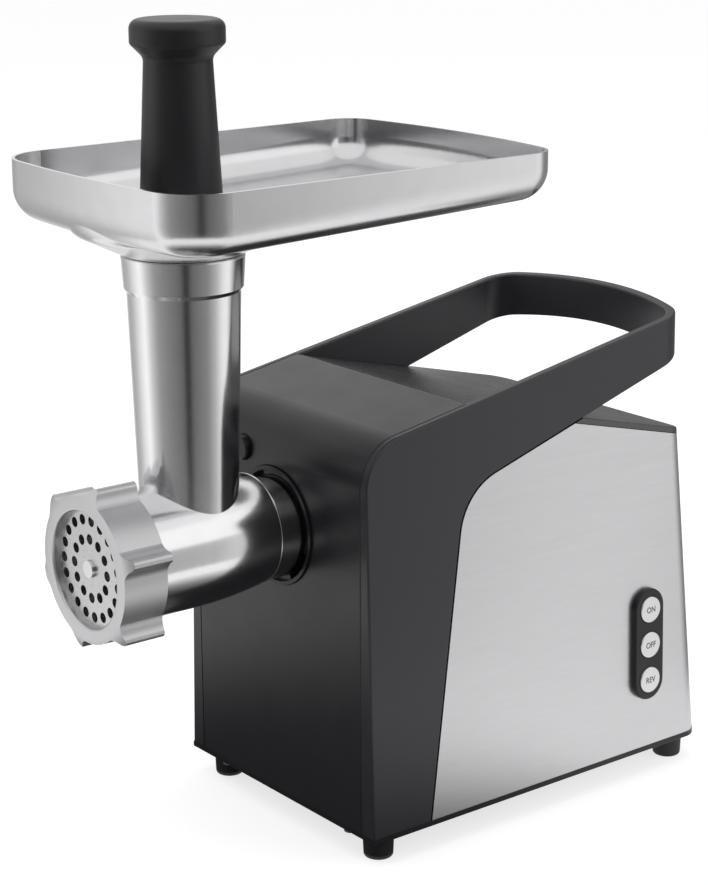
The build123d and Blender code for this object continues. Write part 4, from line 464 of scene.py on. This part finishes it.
PLASTICS = {
    "black_plastic": {"colour": (0.010, 0.0098, 0.0122), "roughness": 0.36, "specular": 0.35},
    # The lighter blacks of the handle, the front cover and the pusher are painted light.
    "handle_plastic_painted_light": {"colour": (0.022, 0.0215, 0.026), "roughness": 0.34, "specular": 0.45},
    "front_plastic_painted_light": {"colour": (0.015, 0.0147, 0.018), "roughness": 0.32, "specular": 0.4},
    "pusher_plastic_painted_light": {"colour": (0.013, 0.0127, 0.015), "roughness": 0.40, "specular": 0.4},
    # The grey of the top cover is painted light, for the light that falls on it from above.
    "cover_plastic": {"colour": (0.048, 0.047, 0.051), "roughness": 0.26, "specular": 0.7},
    "housing_plastic": {"colour": (0.05, 0.05, 0.052), "roughness": 0.5},
    "rubber": {"colour": (0.012, 0.012, 0.012), "roughness": 0.62, "grain": RUBBER_GRAIN},
    "circuit_board": {"colour": (0.1, 0.16, 0.09), "roughness": 0.5},
    "nylon": {"colour": (0.8, 0.78, 0.72), "roughness": 0.45},
    "carbon": {"colour": (0.03, 0.03, 0.03), "roughness": 0.6},
}
finishes = {name: moulded_plastic(name, **look) for name, look in PLASTICS.items()}
print("plastic:", ", ".join(finishes))

# %% [markdown]
# ## Silver paint
# The caps of the three buttons are moulded in plastic and painted silver. They could be given plain
# bare metal, but then a flat cap shows one even mirror tone. The paint holds fine metal flakes
# instead, which vary its colour and tilt its surface a little, so the cap keeps a soft sheen.

# %% Mix the silver paint
FLAKE_SIZE = 0.3 * MM


def silver_paint(colour, roughness, metallic):
    """Silver paint with fine flakes."""
    finish = new_finish("silver_paint", colour, roughness, metallic)
    flakes = add_noise(finish, FLAKE_SIZE)
    add_bump(finish, flakes, height=0.01 * MM, strength=0.3)
    vary_colour(finish, flakes, dark=shade(colour, 0.94), light=shade(colour, 1.05))
    return finish


finishes["silver_plastic"] = silver_paint((0.68, 0.68, 0.69), roughness=0.3, metallic=0.9)
print("silver paint for the slot silver_plastic")

# %% [markdown]
# ## Brushed steel
# The sides are steel sheet, brushed along the strip before it is folded round the body, so its
# grain runs level on the sides and on the rear alike. An anisotropic shader could give the sheen,
# but it shows no single streaks. Noise drawn out in X and Y, and fine in Z, does.

# %% Brush the steel
BRUSH_STREAK = 0.2 * MM
BRUSH_BAND = 1.0 * MM
BRUSH_STRETCH = (90, 90, 1)


def brushed_metal(name, colour, roughness):
    """Metal brushed level: streaks long in X and Y and fine in Z."""
    finish = new_finish(name, colour, roughness, metallic=1.0)
    streaks = add_noise(finish, BRUSH_STREAK, BRUSH_STRETCH, detail=3.0)
    vary_colour(finish, streaks, dark=shade(colour, 0.96), light=shade(colour, 1.04))
    bands = add_noise(finish, BRUSH_BAND, BRUSH_STRETCH, detail=2.0)
    vary_roughness(finish, bands, smooth=roughness - 0.03, rough=roughness + 0.04)
    add_bump(finish, streaks, height=0.01 * MM, strength=0.25)
    return finish


finishes["brushed_steel"] = brushed_metal("brushed_steel", (0.58, 0.58, 0.59), roughness=0.34)
print(f"steel with streaks {BRUSH_STREAK / MM:.1f} mm wide")

# %% [markdown]
# ## Cast aluminium
# The head is an aluminium casting, polished on a wheel, which leaves it glossy but faintly wavy.
# The tray is less wavy and a little duller, and the ring nut keeps a satin, blasted skin. One plain
# metal would look too perfect for a casting, so a slow wave bends its reflections and a fine skin
# breaks them up.

# %% Polish the castings
def cast_metal(name, colour, roughness, wave, skin):
    """Cast metal: a slow wave left by polishing and the skin's own grain."""
    finish = new_finish(name, colour, roughness, metallic=1.0)
    add_bump(finish, add_noise(finish, size=22 * MM, detail=1.0), height=wave, strength=0.3)
    grain = add_noise(finish, size=0.5 * MM)
    add_bump(finish, grain, height=skin, strength=0.3)
    vary_roughness(finish, grain, smooth=roughness - 0.03, rough=roughness + 0.04)
    clouds = add_noise(finish, size=9 * MM)
    vary_colour(finish, clouds, dark=shade(colour, 0.985), light=shade(colour, 1.015))
    return finish


CAST_METALS = {
    "cast_aluminium": {
        "colour": (0.76, 0.76, 0.77),
        "roughness": 0.16,
        "wave": 0.03 * MM,
        "skin": 0.004 * MM,
    },
    "satin_aluminium": {
        "colour": (0.58, 0.58, 0.59),
        "roughness": 0.42,
        "wave": 0.02 * MM,
        "skin": 0.006 * MM,
    },
    "polished_aluminium": {
        "colour": (0.66, 0.66, 0.67),
        "roughness": 0.21,
        "wave": 0.02 * MM,
        "skin": 0.003 * MM,
    },
}
finishes |= {name: cast_metal(name, **look) for name, look in CAST_METALS.items()}
print("castings:", ", ".join(CAST_METALS))

# %% [markdown]
# ## Machined and plated metal
# The hole plate, the gears, the motor and the screws are machined, plated or drawn. Most of them
# are hidden, so one recipe serves for all. A flat colour would do from afar, but a fine mottle in
# gloss and tone keeps them from looking flat when the covers are taken off.

# %% Finish the machined pieces
def machined_metal(name, colour, roughness):
    """Plain machined or plated metal with a faint mottled gloss."""
    finish = new_finish(name, colour, roughness, metallic=1.0)
    mottle = add_noise(finish, size=1.2 * MM, detail=4.0)
    vary_roughness(finish, mottle, smooth=roughness - 0.06, rough=roughness + 0.08)
    vary_colour(finish, mottle, dark=shade(colour, 0.92), light=shade(colour, 1.06))
    add_bump(finish, mottle, height=0.01 * MM, strength=0.4)
    return finish


MACHINED_METALS = {
    "plate_steel": {"colour": (0.58, 0.58, 0.58), "roughness": 0.3},
    "gear_steel": {"colour": (0.45, 0.45, 0.46), "roughness": 0.34},
    "case_aluminium": {"colour": (0.6, 0.6, 0.61), "roughness": 0.42},
    "bronze": {"colour": (0.55, 0.40, 0.22), "roughness": 0.4},
    "core_steel": {"colour": (0.28, 0.28, 0.29), "roughness": 0.45},
    "copper": {"colour": (0.55, 0.27, 0.14), "roughness": 0.35},
    "fastener_steel": {"colour": (0.5, 0.5, 0.5), "roughness": 0.32},
}
finishes |= {name: machined_metal(name, **look) for name, look in MACHINED_METALS.items()}
print(f"{len(finishes)} finishes")

# %% [markdown]
# ## Dressing the solids
# The record names a material slot for every solid, and there is a finish for each slot. Dressing
# by slot alone would be enough for most solids. The handle, the front cover and the pusher share
# the slot of the black plastic, but each is a moulding with its own gloss and a lighter tone that
# paints in the light falling on it, so these three are given a finish of their own by name.

# %% Give every solid its finish
OWN_FINISH = {
    "handle_frame": "handle_plastic_painted_light",
    "front_cover": "front_plastic_painted_light",
    "pusher": "pusher_plastic_painted_light",
}

subparts = frame["record"]["subparts"]
for part in subparts:
    node = part["node"]
    for slot in solids[node].material_slots:
        slot.material = finishes[OWN_FINISH.get(node, part["material_slot"])]
print(f"{len(subparts)} solids dressed")

# %% [markdown]
# ## Words on the buttons
# The three silver buttons carry their function in small printed capitals. Print could be painted
# into the finish, but that needs an image. A text object is drawn by the font instead, becomes a
# mesh that stands a few hundredths of a millimetre proud, and is then set on the cap, on the
# slanted side of the body. Each word rides on its own button.

# %% Find the caps
SIDE_DRAFT = math.radians(1.8)
BUTTON_WORDS = {"on_button": "ON", "off_button": "OFF", "reverse_button": "REV"}

side_out = Vector((math.cos(SIDE_DRAFT), 0, math.sin(SIDE_DRAFT)))
side_up = Vector((-math.sin(SIDE_DRAFT), 0, math.cos(SIDE_DRAFT)))
side_right = Vector((0, 1, 0))


def cap_centre(button):
    """Middle of a button's outer face, found from its own corners."""
    corners = [vertex.co for vertex in solids[button].data.vertices]
    outermost = max(corner.dot(side_out) for corner in corners)
    low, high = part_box(button)
    middle = (low + high) / 2
    return middle + side_out * (outermost - middle.dot(side_out))


for button in BUTTON_WORDS:
    print(button, "has its cap at", [round(place / MM, 1) for place in cap_centre(button)], "mm")

# %% Print the words
WORD_SIZE = 4.0 * MM
WORD_WIDTH = 0.9
PRINT_HEIGHT = 0.03 * MM
PRINT_WEIGHT = 0.05 * MM

ink = moulded_plastic("button_print", (0.02, 0.02, 0.02), 0.5)

for button, word in BUTTON_WORDS.items():
    bpy.ops.object.select_all(action="DESELECT")
    bpy.ops.object.text_add()
    printed = bpy.context.object
    printed.name = f"{button}_word"
    printed.data.body = word
    printed.data.size = WORD_SIZE
    printed.data.align_x = "CENTER"
    printed.data.align_y = "CENTER"
    printed.data.extrude = PRINT_HEIGHT
    printed.data.offset = PRINT_WEIGHT
    bpy.ops.object.convert(target="MESH")
    place = Matrix((side_right * WORD_WIDTH, side_up, side_out)).transposed().to_4x4()
    place.translation = cap_centre(button)
    printed.data.transform(place)
    printed.data.materials.append(ink)
    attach(printed, solids[button]["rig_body"])
    print(word, "printed on", button)

# %% [markdown]
# ## The turned bead on the barrel
# Where the cast barrel ends and the neck goes into the socket, the lathe leaves a fine bright bead
# round the edge. It could be a bevel on the solid, but a separate ring keeps the solid as it is. A
# circle is extruded four times round a small four-sided profile. Each time it is pushed along the
# barrel and scaled outwards or inwards, and the last loop is merged with the first, so the bead is
# closed. The barrel sits a little above the axis of the ring nut, and the bead follows it.

# %% Turn the bead
BARREL_RADIUS = 24.5 * MM
BARREL_RISE = 1.5 * MM
BARREL_END_Y = -65.5 * MM
BEAD_SIDES = 120
BEAD_START_Y = BARREL_END_Y - 0.7 * MM
BEAD_START_RADIUS = BARREL_RADIUS - 0.1 * MM
BEAD_STEPS_MM = ((0.35, 0.35), (0.35, 0.0), (0.30, -0.55), (-1.0, 0.2))

ring_low, ring_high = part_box("ring_nut")
ring_middle = (ring_low + ring_high) / 2
bead_place = Vector((ring_middle.x, BEAD_START_Y, ring_middle.z + BARREL_RISE))

bpy.ops.object.select_all(action="DESELECT")
bpy.ops.mesh.primitive_circle_add(
    vertices=BEAD_SIDES,
    radius=BEAD_START_RADIUS,
    location=bead_place,
    rotation=(math.radians(90), 0, 0),
)
bead = bpy.context.object
bead.name = "barrel_bead"
bpy.ops.object.transform_apply(location=True, rotation=True)
bpy.ops.object.mode_set(mode="EDIT")
bpy.ops.mesh.select_all(action="SELECT")
loop_radius = BEAD_START_RADIUS
for along, outwards in BEAD_STEPS_MM:
    grown = (loop_radius + outwards * MM) / loop_radius
    bpy.ops.mesh.extrude_edges_move(TRANSFORM_OT_translate={"value": (0, along * MM, 0)})
    bpy.ops.transform.resize(value=(grown, 1, grown), center_override=bead_place)
    loop_radius *= grown
bpy.ops.mesh.select_all(action="SELECT")
bpy.ops.mesh.remove_doubles(threshold=0.01 * MM)
bpy.ops.mesh.normals_make_consistent(inside=False)
bpy.ops.object.mode_set(mode="OBJECT")
bpy.ops.object.shade_smooth_by_angle(angle=math.radians(40))
bead.data.materials.append(finishes["polished_aluminium"])
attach(bead, solids["grinder_head"]["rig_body"])
print(f"bead with {len(bead.data.polygons)} faces")
